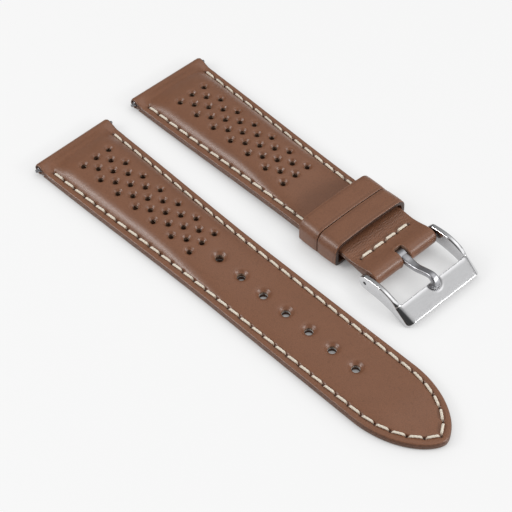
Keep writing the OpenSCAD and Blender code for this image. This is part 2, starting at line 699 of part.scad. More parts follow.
// Tongue: an eye round the bar, a dipped shank, and a tip that bends down into the notch
tongue_dip = 0.6;
tip_rise = face_inner.y + tongue_t + 0.6;
tip_gap = 0.45;
tip_narrow = 0.4;
function on_face(a, n) = face_inner + a * face_dir - n * face_down;
tip_end = on_face(notch_len - tip_gap, 0.4);
tongue_line = [
    [0.18 * reach, eye_r - 0.6 * tongue_dip], [0.36 * reach, eye_r - tongue_dip], [0.53 * reach, eye_r - 0.85 * tongue_dip],
    [0.74 * reach, mix(eye_r, tip_rise, 0.25)], [reach - 1, tip_rise - 0.08], [reach - 0.1, tip_rise]];
module tongue_side() {
    polygon(concat(
        [[0, 0], [0, eye_r - 0.01], [0.1 * reach, eye_r - 0.15]],
        tongue_line,
        [[reach + 0.6, tip_rise - 0.35], [reach + 1.2, tip_rise - 1.1], tip_end + [0.02, 0.6], tip_end,
            on_face(notch_len - tip_gap - 0.05, -0.1), on_face(notch_len - tip_gap - 0.3, -0.25), on_face(0.55, 0.1), on_face(0.15, 0.45)],
        [for (i = [4:-1:0]) tongue_line[i] - [0, tongue_t]],
        [[0.1 * reach, -eye_r + 0.4]]));
}
module tongue_plan() {
    waist = [0.42 * reach, shank_w / 2];
    bulb = [tip_end.x - 1.2, root_w / 2 - 0.05];
    half = [[-eye_r - 1, root_w / 2], [0.28 * reach, root_w / 2], waist, [bulb.x - 0.9, shank_w / 2], bulb,
        [tip_end.x + 0.1, root_w / 2 - tip_narrow], [tip_end.x + 1, root_w / 2 - 0.6]];
    polygon(mirrored(half));
}
module buckle_tongue() {
    color("silver") short_place() difference() {
        union() {
            side_extrude(root_w) circle(r = eye_r);
            intersection() {
                side_extrude(root_w) tongue_side();
                translate([bar_c.x, 0, bar_c.y - 10]) linear_extrude(20) tongue_plan();
            }
        }
        tunnel(bar_c, root_w);
    }
}

module tail_top_leather() {
    color(leather_colour) tail_place() difference() {
        leather_sheet(true);
        tunnel(roll_c, lug_w);
        perforations(tail_perf_start, 0, 9);
        buckle_holes();
    }
}
module tail_lining() {
    color(lining_colour) tail_place() difference() {
        linear_extrude(lining_t) polygon(mirrored(tail_edge));
        channel(function(d) tail_row(d));
        buckle_holes();
    }
}
module tail_padding() {
    color("tan") tail_place() difference() {
        padding(true);
        perforations(tail_perf_start, 0, 9);
        buckle_holes();
    }
}
module tail_stay_tape() {
    color("white") tail_place() difference() {
        stay_tape(tail_pad_end);
        buckle_holes();
    }
}
module tail_top_stitches() {
    color(thread_colour) tail_place() stitch_row(tail_row(stitch_in), top_thread_z);
}
module tail_under_stitches() {
    color(thread_colour) tail_place() stitch_row(tail_row(stitch_in), under_thread_z);
}

short_top_leather();
short_lining();
short_padding();
short_stay_tape();
short_top_stitches();
short_under_stitches();
cross_stitches();
fixed_keeper();
loose_keeper();
short_bar_tube();
short_bar_spring();
short_bar_near_tip();
short_bar_far_tip();
buckle_bar_tube();
buckle_bar_spring();
buckle_bar_near_tip();
buckle_bar_far_tip();
buckle_frame();
buckle_tongue();
tail_top_leather();
tail_lining();
tail_padding();
tail_stay_tape();
tail_top_stitches();
tail_under_stitches();
tail_bar_tube();
tail_bar_spring();
tail_bar_near_tip();
tail_bar_far_tip();
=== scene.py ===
import math

import bpy
import numpy as np
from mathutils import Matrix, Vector
from mathutils.geometry import delaunay_2d_cdt
from mathutils.kdtree import KDTree


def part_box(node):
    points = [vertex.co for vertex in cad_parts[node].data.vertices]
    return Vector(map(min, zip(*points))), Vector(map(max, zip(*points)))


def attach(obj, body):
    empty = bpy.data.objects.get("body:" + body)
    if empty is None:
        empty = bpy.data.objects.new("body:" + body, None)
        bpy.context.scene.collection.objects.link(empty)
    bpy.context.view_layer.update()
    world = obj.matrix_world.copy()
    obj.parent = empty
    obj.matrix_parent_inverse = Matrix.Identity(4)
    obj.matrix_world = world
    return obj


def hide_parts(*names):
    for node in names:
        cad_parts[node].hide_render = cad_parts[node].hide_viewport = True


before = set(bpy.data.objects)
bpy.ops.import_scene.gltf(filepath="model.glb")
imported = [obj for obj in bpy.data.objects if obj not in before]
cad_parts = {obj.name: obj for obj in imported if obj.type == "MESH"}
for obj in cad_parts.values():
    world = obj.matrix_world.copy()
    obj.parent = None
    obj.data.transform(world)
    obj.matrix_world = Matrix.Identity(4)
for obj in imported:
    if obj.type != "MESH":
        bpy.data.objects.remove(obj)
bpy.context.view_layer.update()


# Studio: the camera stands at the photograph's angle, above a plain white table,
# with two soft lights, a ceiling that is bright on the right, and dark walls low down.
CAMERA_AZIMUTH = 47.14
CAMERA_ELEVATION = 49.63
CAMERA_DISTANCE = 0.3682
CAMERA_AIM = Vector((-0.00385, -0.00602, 0.0))
CAMERA_LENS = 115.3
TABLE_WHITE = (0.72, 0.72, 0.72, 1.0)
TABLE_HALF = 4
OPEN_TABLE = 0.82
SHADE_REACH = 0.006


def studio_direction(azimuth, elevation):
    a, e = math.radians(azimuth), math.radians(elevation)
    return Vector((math.sin(a) * math.cos(e), -math.cos(a) * math.cos(e), math.sin(e)))


camera_data = bpy.data.cameras.new("studio_camera")
camera_data.lens = CAMERA_LENS
camera_data.sensor_width = 36.0
camera_data.clip_start = 0.01
camera = bpy.data.objects.new("studio_camera", camera_data)
camera_back = studio_direction(CAMERA_AZIMUTH, CAMERA_ELEVATION)
camera.location = CAMERA_AIM + camera_back * CAMERA_DISTANCE
camera.rotation_mode = "QUATERNION"
camera.rotation_quaternion = (-camera_back).to_track_quat("-Z", "Y")
bpy.context.collection.objects.link(camera)
bpy.context.scene.camera = camera
bpy.context.scene.view_settings.view_transform = "Standard"


def softbox(name, towards, distance, size, power):
    data = bpy.data.lights.new(name, "AREA")
    data.shape = "RECTANGLE"
    data.size, data.size_y = size
    data.energy = power
    lamp = bpy.data.objects.new(name, data)
    lamp.location = towards * distance
    lamp.rotation_mode = "QUATERNION"
    lamp.rotation_quaternion = (-towards).to_track_quat("-Z", "Y")
    bpy.context.collection.objects.link(lamp)


softbox("front_softbox", Vector((-0.475, -0.70, 0.535)), 0.62, (0.30, 0.15), 2.0)
softbox("back_softbox", Vector((0.80, 0.44, 0.40)), 0.62, (0.40, 0.12), 1.9)


def link(tree, *wires):
    """Each wire gives a node, its output, the next node and its input."""
    for a, out, b, into in wires:
        tree.links.new(a.outputs[out], b.inputs[into])


def add_node(tree, kind, numbers=None, **settings):
    """A node with its settings, and with the numbers that stay on its own sockets."""
    node = tree.nodes.new("ShaderNode" + kind)
    for name, value in settings.items():
        setattr(node, name, value)
    for socket, value in (numbers or {}).items():
        node.inputs[socket].default_value = value
    return node


def colour_steps(node, *steps):
    """The stops of a colour ramp, each a place and a colour."""
    stops = node.color_ramp.elements
    for i, (place, colour) in enumerate(steps):
        stop = stops[0] if i == 0 else stops.new(place) if i < len(steps) - 1 else stops[-1]
        stop.position = place
        stop.color = (*colour, 1.0)


SKY_LEVELS = ((0.0, 0.035), (0.25, 0.04), (0.50, 0.13), (0.80, 0.25), (0.90, 0.34),
              (0.956, 0.51), (0.985, 0.82), (1.0, 1.0))
sky = bpy.data.worlds.new("studio_sky")
bpy.context.scene.world = sky
sky.use_nodes = True
sky_tree = sky.node_tree
sky_light = sky_tree.nodes["Background"]
sky_light.inputs["Strength"].default_value = 1.7
sky_where = add_node(sky_tree, "TexCoord")
sky_lean = add_node(sky_tree, "VectorMath", {1: (0.13, 0.44, 0.89)}, operation="DOT_PRODUCT")
sky_ramp = add_node(sky_tree, "ValToRGB")
colour_steps(sky_ramp, *((place, (level,) * 3) for place, level in SKY_LEVELS))
link(sky_tree, (sky_where, "Generated", sky_lean, 0), (sky_lean, "Value", sky_ramp, "Fac"),
     (sky_ramp, "Color", sky_light, "Color"))

table_mesh = bpy.data.meshes.new("table")
table_corners = [(x * TABLE_HALF, y * TABLE_HALF, -0.00005) for x, y in ((-1, -1), (1, -1), (1, 1), (-1, 1))]
table_mesh.from_pydata(table_corners, [], [(0, 1, 2, 3)])
table = bpy.data.objects.new("table", table_mesh)
bpy.context.collection.objects.link(table)
table_paint = bpy.data.materials.new("table_white")
table_paint.use_nodes = True
table_tree = table_paint.node_tree
table_tree.nodes.remove(table_tree.nodes["Principled BSDF"])
table_matt = add_node(table_tree, "BsdfDiffuse", {"Color": TABLE_WHITE})
table_glow = add_node(table_tree, "Emission")
table_rays = add_node(table_tree, "LightPath")
table_seen = add_node(table_tree, "Math", operation="MAXIMUM")
table_through = add_node(table_tree, "Math", operation="MAXIMUM")
table_open = add_node(table_tree, "AmbientOcclusion", {"Distance": SHADE_REACH})
table_clear = add_node(table_tree, "Math", operation="MULTIPLY")
table_share = add_node(table_tree, "Math", {1: OPEN_TABLE}, operation="MULTIPLY")
table_mix = add_node(table_tree, "MixShader")
link(table_tree, (table_rays, "Is Camera Ray", table_seen, 0), (table_rays, "Is Glossy Ray", table_seen, 1),
     (table_seen, 0, table_through, 0), (table_rays, "Is Transmission Ray", table_through, 1),
     (table_through, 0, table_clear, 0), (table_open, "AO", table_clear, 1),
     (table_clear, 0, table_share, 0), (table_share, 0, table_mix, "Fac"),
     (table_matt, 0, table_mix, 1), (table_glow, 0, table_mix, 2),
     (table_mix, 0, table_tree.nodes["Material Output"], "Surface"))
table_mesh.materials.append(table_paint)


# Lining: thin brown calf under each half, cut to the same outline as the top.
# Its grain faces the wrist, its edge is painted, and a groove on each side takes the
# under thread. Seven buckle holes go through the tail's lining.
LUG_WIDTH = 21.8
STRAP_WIDTH = 19.4
TAPER = 60.0
TIP_START = 101.0
TIP_LENGTH = 17.5
TIP_POWER = 0.62
LINING_THICK = 0.8
LINING_START = 3.0
LINING_STOP = 78.6
SHORT_LENGTH = 80.3
ROLL_RADIUS = 1.40
FOLD_RADIUS = 2.04
LAYER_FLOOR = 0.83
GLUE = 0.03
STITCH_INSET = 1.75
FIRST_STITCH = 4.9
CROSS_ROW = 75.3
HUMP = 0.85
HUMP_START = 64.6
HUMP_TOP = 71.0
HUMP_STOP = 78.6
SHORT_ROW_END = 58.58
FIRST_HOLE = 51.3
HOLE_PITCH = 6.95
HOLE_STATIONS = FIRST_HOLE + HOLE_PITCH * np.arange(7)
HOLE_RADIUS = 1.0
STITCH_PITCH = 3.6
UNDER_SET_IN = 0.8
SET_IN_RUN = 9.0
GROOVE_DEPTH = 0.56
GROOVE_HALF = 0.40
CROSS_GROOVE_HALF = 8.2
THINNEST_LINING = 0.16


def smooth(t):
    t = np.clip(t, 0.0, 1.0)
    return t * t * (3.0 - 2.0 * t)


def mix(a, b, t):
    return a + (b - a) * t


def pairs(x, y):
    """Flat points from two coordinates, either of which may be one number."""
    return np.stack(np.broadcast_arrays(x, y), 1)


def unit(v):
    return v / np.linalg.norm(v, axis=1)[:, None]


def round_about(n, start=0.0, stop=2 * math.pi):
    """n angles round a circle, the last a step short of the first."""
    return np.linspace(start, stop, n, endpoint=False)


def box_middle(node):
    low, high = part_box(node)
    return 500.0 * (np.array(low) + np.array(high))


buckle_end = box_middle("buckle_bar_tube")
short_roll = box_middle("short_bar_tube")
tail_roll = box_middle("tail_bar_tube")
HALF_SLOPE = (math.atan2(buckle_end[2] - short_roll[2], buckle_end[0] - short_roll[0])
              - math.atan2(FOLD_RADIUS - ROLL_RADIUS, SHORT_LENGTH - ROLL_RADIUS))
tail_across = box_middle("tail_bar_far_tip") - box_middle("tail_bar_near_tip")
TAIL_TURN = math.atan2(-tail_across[0], tail_across[1])


def lay_buckle_half(p):
    """From a half lying along X, its roll at the start, to its place; metres come out."""
    dx, dz = p[:, 0] - ROLL_RADIUS, p[:, 2] - ROLL_RADIUS
    c, s = math.cos(HALF_SLOPE), math.sin(HALF_SLOPE)
    return 0.001 * (short_roll + np.stack([dx * c - dz * s, p[:, 1], dx * s + dz * c], 1))


def lay_bent_half(p, share=1.0):
    """The leather of the buckle half also humps up where it leaves the fixed keeper."""
    up = smooth((p[:, 0] - HUMP_START) / (HUMP_TOP - HUMP_START))
    down = smooth((p[:, 0] - HUMP_TOP) / (HUMP_STOP - HUMP_TOP))
    return lay_buckle_half(p + np.outer(share * HUMP * up * (1 - down), (0, 0, 1)))


def lay_tail_half(p):
    dx, y = p[:, 0] - ROLL_RADIUS, p[:, 1]
    c, s = math.cos(TAIL_TURN), math.sin(TAIL_TURN)
    return 0.001 * (tail_roll + np.stack([dx * c - y * s, dx * s + y * c, p[:, 2] - ROLL_RADIUS], 1))


def half_width(x, tail):
    w = mix(LUG_WIDTH, STRAP_WIDTH, smooth(x / TAPER)) / 2
    if not tail:
        return w
    t = np.clip((x - TIP_START) / TIP_LENGTH, 0.0, 1.0)
    return np.where(x > TIP_START, STRAP_WIDTH / 2 * (1 - t * t) ** TIP_POWER, w)


def tail_side(start, step=0.4):
    straight = np.arange(start, TIP_START, step)
    swing = np.linspace(0.0, math.pi / 2, 64)
    x = np.concatenate([straight, TIP_START + TIP_LENGTH * np.sin(swing)])
    y = np.concatenate([half_width(straight, True), STRAP_WIDTH / 2 * np.cos(swing) ** (2 * TIP_POWER)])
    return pairs(x, y)


def both_sides(side):
    """A closed outline from one side, given from end to end; it runs anticlockwise."""
    other = side[::-1] * (1, -1)
    if abs(side[-1, 1]) < 1e-6:
        other = other[1:]
    if abs(side[0, 1]) < 1e-6:
        other = other[:-1]
    return np.concatenate([side, other])[::-1]


def set_in(loop, d):
    """A closed anticlockwise outline moved in by d, or out where d is negative."""
    back, on = unit(loop - np.roll(loop, 1, 0)), unit(np.roll(loop, -1, 0) - loop)
    left = unit(pairs(-back[:, 1], back[:, 0]) + pairs(-on[:, 1], on[:, 0]))
    straight = np.maximum(0.5, left[:, 0] * -on[:, 1] + left[:, 1] * on[:, 0])
    return loop + left * (d / straight)[:, None]


def within(points, loop):
    hit = np.zeros(len(points), bool)
    x, y = points[:, 0], points[:, 1]
    for (ax, ay), (bx, by) in zip(loop, np.roll(loop, -1, 0)):
        if ay != by:
            hit ^= ((ay > y) != (by > y)) & (x < (bx - ax) * (y - ay) / (by - ay) + ax)
    return hit


def round_hole(x, y, r, n):
    a = round_about(n)
    return pairs(x + r * np.cos(a), y + r * np.sin(a))


def inside(points, hole, rim, reach):
    """Which points lie within a hole's rim; only those near the hole are tried."""
    near = np.abs(points - hole.mean(0)).max(1) < np.abs(hole - hole.mean(0)).max() + reach
    hit = np.zeros(len(points), bool)
    hit[near] = within(points[near], rim)
    return hit


def tree_of(points):
    tree = KDTree(len(points))
    for i, p in enumerate(points):
        tree.insert((p[0], p[1], 0.0), i)
    tree.balance()
    return tree


def rounding(r, angles, side):
    """Steps round an arris: how far in from the edge, how deep, and from which side."""
    return [(r * (1 - math.sin(a)), r * (1 - math.cos(a)), side) for a in np.radians(angles)]


def cut_sheet(outline, holes, fine, surface, step, edge_round, hole_round,
              turned_over=False, back_round=None):
    """Cuts a sheet to its outline and holes, and shapes it. surface(points, q) gives the
    place of each point of the flat cut, from its face at q 0 to its back at q 1. Edges and
    holes get rounded arrises. fine holds extra points where the shape is finest. Returns
    corners, faces, the finish of each face (0 face, 1 edge, 2 hole wall, 3 back) and cut."""
    rims = [set_in(outline, edge_round)] + [set_in(h, -hole_round) for h in holes]
    keep = [np.concatenate(rims)]
    if fine:
        extra = np.concatenate(fine)
        extra = extra[within(extra, set_in(outline, edge_round + 0.3 * step))]
        for h in holes:
            extra = extra[~inside(extra, h, set_in(h, -hole_round - 0.03), 3)]
        keep.append(extra)
    crowded = tree_of(np.concatenate(keep))
    low, high = outline.min(0), outline.max(0)
    rows = np.arange(low[1], high[1], step * 0.866)
    grid = np.concatenate([pairs(np.arange(low[0] + (i % 2) * step / 2, high[0], step), y)
                           for i, y in enumerate(rows)])
    grid = grid[within(grid, rims[0])]
    for rim in rims[1:]:
        grid = grid[~inside(grid, rim, rim, 0.1)]
    grid = np.array([g for g in grid if crowded.find((g[0], g[1], 0.0))[2] > 0.62 * step])
    points = np.concatenate(keep + [grid])
    edges, at = [], 0
    for rim in rims:
        n = len(rim)
        edges += [(at + i, at + (i + 1) % n) for i in range(n)]
        at += n
    made = delaunay_2d_cdt([Vector(p) for p in points], edges, [], 1, 1e-9)
    flat = np.array([(v.x, v.y) for v in made[0]])
    where = {j: i for i, source in enumerate(made[3]) for j in source}
    tri = np.array(made[2])
    middle = flat[tri].mean(1)
    gone = ~within(middle, rims[0])
    for rim in rims[1:]:
        gone |= inside(middle, rim, rim, 0.1)
    tri = tri[~gone]
    n = len(flat)
    corners = [surface(flat, np.zeros(n)), surface(flat, np.ones(n))]
    cut = [flat, flat]
    faces = [list(t) for t in tri] + [[a + n, c + n, b + n] for a, b, c in tri]
    finish = [0] * len(tri) + [3] * len(tri)
    count, at = 2 * n, 0
    for k, rim in enumerate(rims):
        loop = outline if k == 0 else holes[k - 1]
        sign = 1 if k == 0 else -1
        r = edge_round if k == 0 else hole_round
        m = len(loop)
        top = np.array([where[at + i] for i in range(m)])
        at += m
        across = surface(rim, np.ones(m)) - surface(rim, np.zeros(m))
        thick = np.maximum(1e-3, np.linalg.norm(across, axis=1))
        r2 = back_round if k == 0 and back_round else 0.55 * r
        strips = rounding(r, (22.5, 45, 67.5, 90), 0)
        strips += [(-0.02 * sign, None, 0)] if k == 0 else []
        strips += rounding(r2, (90, 60, 30), 1)
        ring = [top]
        for d, deep, side in strips:
            p = set_in(loop, sign * d)
            q = np.full(m, 0.5) if deep is None else np.minimum(0.5, deep / thick)
            corners.append(surface(p, 1 - q if side else q))
            cut.append(p)
            ring.append(np.arange(count, count + m))
            count += m
        ring.append(top + n)
        for j, (a, b) in enumerate(zip(ring[:-1], ring[1:])):
            a2, b2 = np.roll(a, -1), np.roll(b, -1)
            quads = np.stack([a, b, b2, a2], 1) if k == 0 else np.stack([a, a2, b2, b], 1)
            faces += quads.tolist()
            kind = (0 if j < 2 else 1) if k == 0 else (0 if j < 3 else 2)
            finish += [kind] * m
    if turned_over:
        faces = [f[::-1] for f in faces]
    return np.concatenate(corners), faces, finish, np.concatenate(cut)


def make_piece(name, corners, faces, paints, finish=None, sharp=None):
    mesh = bpy.data.meshes.new(name)
    mesh.from_pydata(corners.tolist(), [], faces)
    for paint in paints:
        mesh.materials.append(paint)
    if finish is not None:
        mesh.polygons.foreach_set("material_index", finish)
    mesh.shade_smooth()
    if sharp is not None:
        mesh.set_sharp_from_angle(angle=math.radians(sharp))
    mesh.update()
    piece = bpy.data.objects.new(name, mesh)
    bpy.context.collection.objects.link(piece)
    return piece


def keep_value(piece, name, values):
    layer = piece.data.attributes.new(name, "FLOAT", "POINT")
    layer.data.foreach_set("value", np.asarray(values, np.float32))


def run_of(line):
    """How far along a line each of its points is."""
    return np.concatenate([[0], np.cumsum(np.linalg.norm(np.diff(line, axis=0), axis=1))])


def on_line(line, at):
    run = run_of(line)
    return pairs(np.interp(at, run, line[:, 0]), np.interp(at, run, line[:, 1]))


def stitch_row(tail):
    """One side of a half's row of stitches, and the places of its pricked holes."""
    x = np.arange(FIRST_STITCH, TIP_START if tail else SHORT_ROW_END, 0.25)
    line = pairs(x, half_width(x, tail) - STITCH_INSET)
    if tail:
        side = tail_side(TIP_START, 0.4)
        slope = unit(np.gradient(side, axis=0))
        curve = side + pairs(slope[:, 1], -slope[:, 0]) * STITCH_INSET
        curve = curve[curve[:, 1] > 0.9 * STITCH_INSET]
        line = np.concatenate([line, curve, [[curve[-1, 0] + curve[-1, 1] * 0.62, 0.0]]])
    length = run_of(line)[-1]
    return line, on_line(line, np.linspace(0, length, round(length / STITCH_PITCH) + 1))


ROWS = {True: stitch_row(True), False: stitch_row(False)}


def along_row(line, offsets, step):
    """Points beside a row on both sides of a half, for a finer mesh there."""
    p = on_line(line, np.arange(0, run_of(line)[-1], step))
    t = unit(np.gradient(p, axis=0))
    side = pairs(-t[:, 1], t[:, 0])
    out = np.concatenate([p + side * o for o in offsets])
    out = out[out[:, 1] > 0.12]
    return np.concatenate([out, out * (1, -1)])


def from_row(points, line, reach=1.5):
    """Distance of each point from a row, up to reach, on both sides of the half."""
    tree = tree_of(line)
    out = np.full(len(points), reach)
    base = np.abs(np.abs(points[:, 1]) - (half_width(points[:, 0], False) - STITCH_INSET)) < 2.5
    maybe = np.nonzero(base | (points[:, 0] > TIP_START - 2))[0]
    for i in maybe:
        x, y = points[i, 0], abs(points[i, 1])
        _, j, _ = tree.find((x, y, 0.0))
        a, b = line[max(0, j - 1)], line[min(len(line) - 1, j + 1)]
        v = b - a
        t = min(1.0, max(0.0, float(((x, y) - a) @ v) / float(v @ v)))
        out[i] = min(reach, math.hypot(x - a[0] - t * v[0], y - a[1] - t * v[1]))
    return out


def new_paint(name, numbers):
    """A material, its tree and its shader, with numbers set on the shader's own sockets."""
    paint = bpy.data.materials.new(name)
    paint.use_nodes = True
    shader = paint.node_tree.nodes["Principled BSDF"]
    for socket, value in numbers.items():
        shader.inputs[socket].default_value = value
    return paint, paint.node_tree, shader


def shade(tone, share):
    return tuple(min(1.0, c * share) for c in tone)


def calf_material(name, tone, dark, rough, grain_size, grain_depth, pores):
    """Smooth calf: a cloudy dye, a fine crackled grain with pores, and burnished high spots.
    dark is painted shade in the pits, grooves, hole rims and crease hollows marked on the mesh, partly the
    real darkening of crushed leather."""
    paint, tree, skin = new_paint(name, {"Roughness": rough, "Specular IOR Level": 0.42,
                                         "Coat Weight": 0.14, "Coat Roughness": 0.22})
    place = add_node(tree, "TexCoord")
    cloud = add_node(tree, "TexNoise", {"Scale": 260.0, "Detail": 5.0})
    dye = add_node(tree, "ValToRGB")
    colour_steps(dye, (0.3, shade(tone, 0.965)), (0.72, shade(tone, 1.03)))
    grain = add_node(tree, "TexVoronoi", {"Scale": 1000.0 / grain_size}, feature="DISTANCE_TO_EDGE")
    warp = add_node(tree, "TexNoise", {"Scale": 1400.0, "Detail": 3.0})
    bent = add_node(tree, "VectorMath", {1: (0.0003, 0.0003, 0.0003)}, operation="MULTIPLY_ADD")
    crack = add_node(tree, "MapRange", {"From Max": 0.16})
    pore = add_node(tree, "TexNoise", {"Scale": pores, "Detail": 4.0})
    height = add_node(tree, "Math", {1: 0.55}, operation="MULTIPLY_ADD")
    bump = add_node(tree, "Bump", {"Strength": 0.5, "Distance": grain_depth})
    crease = add_node(tree, "Mix", {0: 0.22}, data_type="RGBA", blend_type="MULTIPLY")
    # Painted shade: the mask on the mesh blends the dye towards dark in pits, grooves and crease hollows.
    pressed_shade = add_node(tree, "Attribute", attribute_name="pressed_shade")
    deep = add_node(tree, "Mix", {7: (*dark, 1)}, data_type="RGBA")
    gloss = add_node(tree, "MapRange", {"To Min": rough + 0.07, "To Max": rough - 0.05})
    link(tree, (place, "Object", cloud, "Vector"), (cloud, "Fac", dye, "Fac"),
         (place, "Object", warp, "Vector"), (warp, "Color", bent, 0), (place, "Object", bent, 2),
         (bent, 0, grain, "Vector"), (grain, "Distance", crack, "Value"),
         (place, "Object", pore, "Vector"), (crack, 0, height, 0), (pore, "Fac", height, 2),
         (height, 0, bump, "Height"), (bump, "Normal", skin, "Normal"),
         (dye, "Color", crease, 6), (crack, 0, crease, 7),
         (pressed_shade, "Fac", deep, 0), (crease, 2, deep, 6), (deep, 2, skin, "Base Color"),
         (pore, "Fac", gloss, "Value"), (gloss, 0, skin, "Roughness"))
    return paint


def painted_edge(name, tone):
    """Edge paint: a slightly lumpy, satin coat over the cut fibres."""
    return calf_material(name, tone, shade(tone, 0.35), 0.42, 0.9, 0.00003, 2600.0)


def raw_fibre(name, tone):
    """The bare back of the leather and the walls of its holes: short matt fibres."""
    return calf_material(name, tone, shade(tone, 0.5), 0.85, 0.22, 0.00012, 9000.0)


lining_skin = calf_material("lining_calf", (0.30, 0.165, 0.105), (0.13, 0.065, 0.04),
                            0.55, 0.55, 0.00005, 3200.0)
lining_edge = painted_edge("lining_edge_paint", (0.185, 0.092, 0.055))
fibre = raw_fibre("raw_fibre", (0.23, 0.13, 0.085))
lining_paints = [lining_skin, lining_edge, fibre, fibre]


def flap_underside(x, tail):
    """The turned-back flaps come down to the ground at the roll and at the fold."""
    z = LAYER_FLOOR * smooth((x - ROLL_RADIUS) / 2.7)
    return z if tail else z * smooth((SHORT_LENGTH - x - 0.2) / 3.6)


def lining_surface(row, tail):
    def surface(points, q):
        x, y = points[:, 0], points[:, 1]
        groove = GROOVE_DEPTH * np.exp(-(from_row(points, row) / GROOVE_HALF) ** 4)
        if not tail:
            groove = groove + 0.5 * np.exp(-((x - CROSS_ROW) / 0.42) ** 4) * (np.abs(y) < CROSS_GROOVE_HALF)
        face = groove + 0.02 * np.sin(x * 0.9) * np.sin(y * 1.1) ** 2
        back = np.minimum(LINING_THICK, flap_underside(x, tail) - GLUE)
        return np.stack([x, y, mix(np.minimum(face, back - THINNEST_LINING), back, q)], 1)
    return surface


def make_lining(name, node, tail, lay, body):
    line = ROWS[tail][0]
    fine = [along_row(line, (-0.62, -0.5, -0.4, -0.3, -0.15, 0, 0.15, 0.3, 0.4, 0.5, 0.62), 0.3)]
    if tail:
        side = tail_side(LINING_START)
        holes = [round_hole(x, 0.0, HOLE_RADIUS, 32) for x in HOLE_STATIONS]
    else:
        x = np.linspace(LINING_START, LINING_STOP, 170)
        side = pairs(x, half_width(x, False) - UNDER_SET_IN * smooth((x - TAPER) / SET_IN_RUN))
        holes = []
        cross = np.arange(-8.3, 8.3, 0.3)
        fine += [pairs(CROSS_ROW + o, cross) for o in (-0.55, -0.4, -0.25, 0, 0.25, 0.4, 0.55)]
    corners, faces, finish, cut = cut_sheet(
        both_sides(side), holes, fine, lining_surface(line, tail), 0.8, 0.45, 0.12,
        turned_over=True, back_round=0.10)
    piece = make_piece(name, lay(corners), faces, lining_paints, finish)
    # Painted shade along the groove that takes the under thread.
    keep_value(piece, "pressed_shade", 0.6 * np.exp(-(from_row(cut, line) / 0.42) ** 2))
    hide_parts(node)
    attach(piece, body)


make_lining("tail_lining_calf", "tail_lining", True, lay_tail_half, "tail_half")
make_lining("buckle_half_lining_calf", "short_lining", False, lay_bent_half, "buckle_half")


# Stay tape: a thin woven ribbon glued on the lining, so that the strap doesn't stretch.
# It lies under the padding, has round ends, and is pierced by the buckle holes.
TAPE_THICK = 0.25
TAPE_WIDTH = 8.0
TAPE_START = 7.8
BUCKLE_FLAP_END = 65.3
FLAP_STEP_RUN = 2.8
FADE_START = 33.0
FADE_STOP = BUCKLE_FLAP_END - FLAP_STEP_RUN
SHORT_PAD_END = mix(FADE_START, FADE_STOP, 0.66)
TAIL_PAD_END = 103.5


def cloth_material(name, tone, threads, depth, rough):
    """Plain weave: two crossing sets of threads, with a little fuzz in the colour."""
    paint, tree, cloth = new_paint(name, {"Roughness": rough, "Sheen Weight": 0.3, "Sheen Roughness": 0.5})
    place = add_node(tree, "TexCoord")
    over = add_node(tree, "Math", operation="MAXIMUM")
    for i, along in enumerate("XY"):
        wave = add_node(tree, "TexWave", {"Scale": threads, "Distortion": 0.6, "Detail": 2.0},
                        bands_direction=along)
        link(tree, (place, "Object", wave, "Vector"), (wave, "Fac", over, i))
    tint = add_node(tree, "ValToRGB")
    colour_steps(tint, (0.0, shade(tone, 0.62)), (1.0, tone))
    bump = add_node(tree, "Bump", {"Strength": 0.6, "Distance": depth})
    link(tree, (over, 0, tint, "Fac"), (tint, "Color", cloth, "Base Color"),
         (over, 0, bump, "Height"), (bump, "Normal", cloth, "Normal"))
    return paint


tape_weave = cloth_material("tape_weave", (0.80, 0.80, 0.78), 420.0, 0.00005, 0.8)


def make_tape(name, node, stop, holes, lay, body):
    r = TAPE_WIDTH / 2
    swing = np.linspace(-math.pi / 2, math.pi / 2, 20)
    far = pairs(stop - r + r * np.cos(swing), r * np.sin(swing))
    near = pairs(TAPE_START + r - r * np.cos(swing), -r * np.sin(swing))
    straight = np.arange(TAPE_START + r + 0.8, stop - r - 0.4, 0.8)
    upper = pairs(straight[::-1], r)
    outline = np.concatenate([far, upper, near, upper[::-1] * (1, -1)])

    def surface(points, q):
        top = LAYER_FLOOR + TAPE_THICK + 0.012 * np.sin(points[:, 0] * 9.0) - 0.012
        return np.stack([points[:, 0], points[:, 1], mix(top, LAYER_FLOOR, q)], 1)

    pierced = [round_hole(x, 0.0, HOLE_RADIUS, 32) for x in holes]
    corners, faces = cut_sheet(outline, pierced, [], surface, 0.8, 0.06, 0.04)[:2]
    piece = make_piece(name, lay(corners), faces, [tape_weave])
    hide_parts(node)
    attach(piece, body)


make_tape("tail_stay_ribbon", "tail_stay_tape", TAIL_PAD_END, HOLE_STATIONS, lay_tail_half, "tail_half")
make_tape("buckle_half_stay_ribbon", "short_stay_tape", SHORT_PAD_END, [], lay_buckle_half, "buckle_half")


# Padding: a firm felt filler with a rounded back, skived thin towards its ends and sides.
# It is glued on the tape, gives each half its crown, and is perforated with the top.
UPPER_THICK = 1.0
SKIVED_THICK = 0.62
RIM_Z = 1.83
TUNNEL_RADIUS = 0.95
WATCH_FLAP_LENGTH = 7.0
WATCH_FLAP_Z = 1.18
BUCKLE_FLAP_Z = 1.53
FOLD_RUN = 7.0
CROWN_NOSE = 9.0
CROWN_POWER = 4.5
EDGE_FLAT = 2.0
PAD_RISE = 2.4
TAIL_RISE = 0.55
TAIL_FADE = 35.0
PERFORATION_RADIUS = 0.65
PERFORATION_PITCH = 6.0
PERFORATION_ROWS = 1.93
FLAP_STEP = 0.73
PAD_START = 7.85
PAD_GAP = 0.39


def perforation_places(start):
    places = []
    for row in range(5):
        odd = row % 2
        for i in range(7 - odd):
            places.append((start + (i + odd / 2) * PERFORATION_PITCH, (row - 2) * PERFORATION_ROWS))
    return np.array(places)


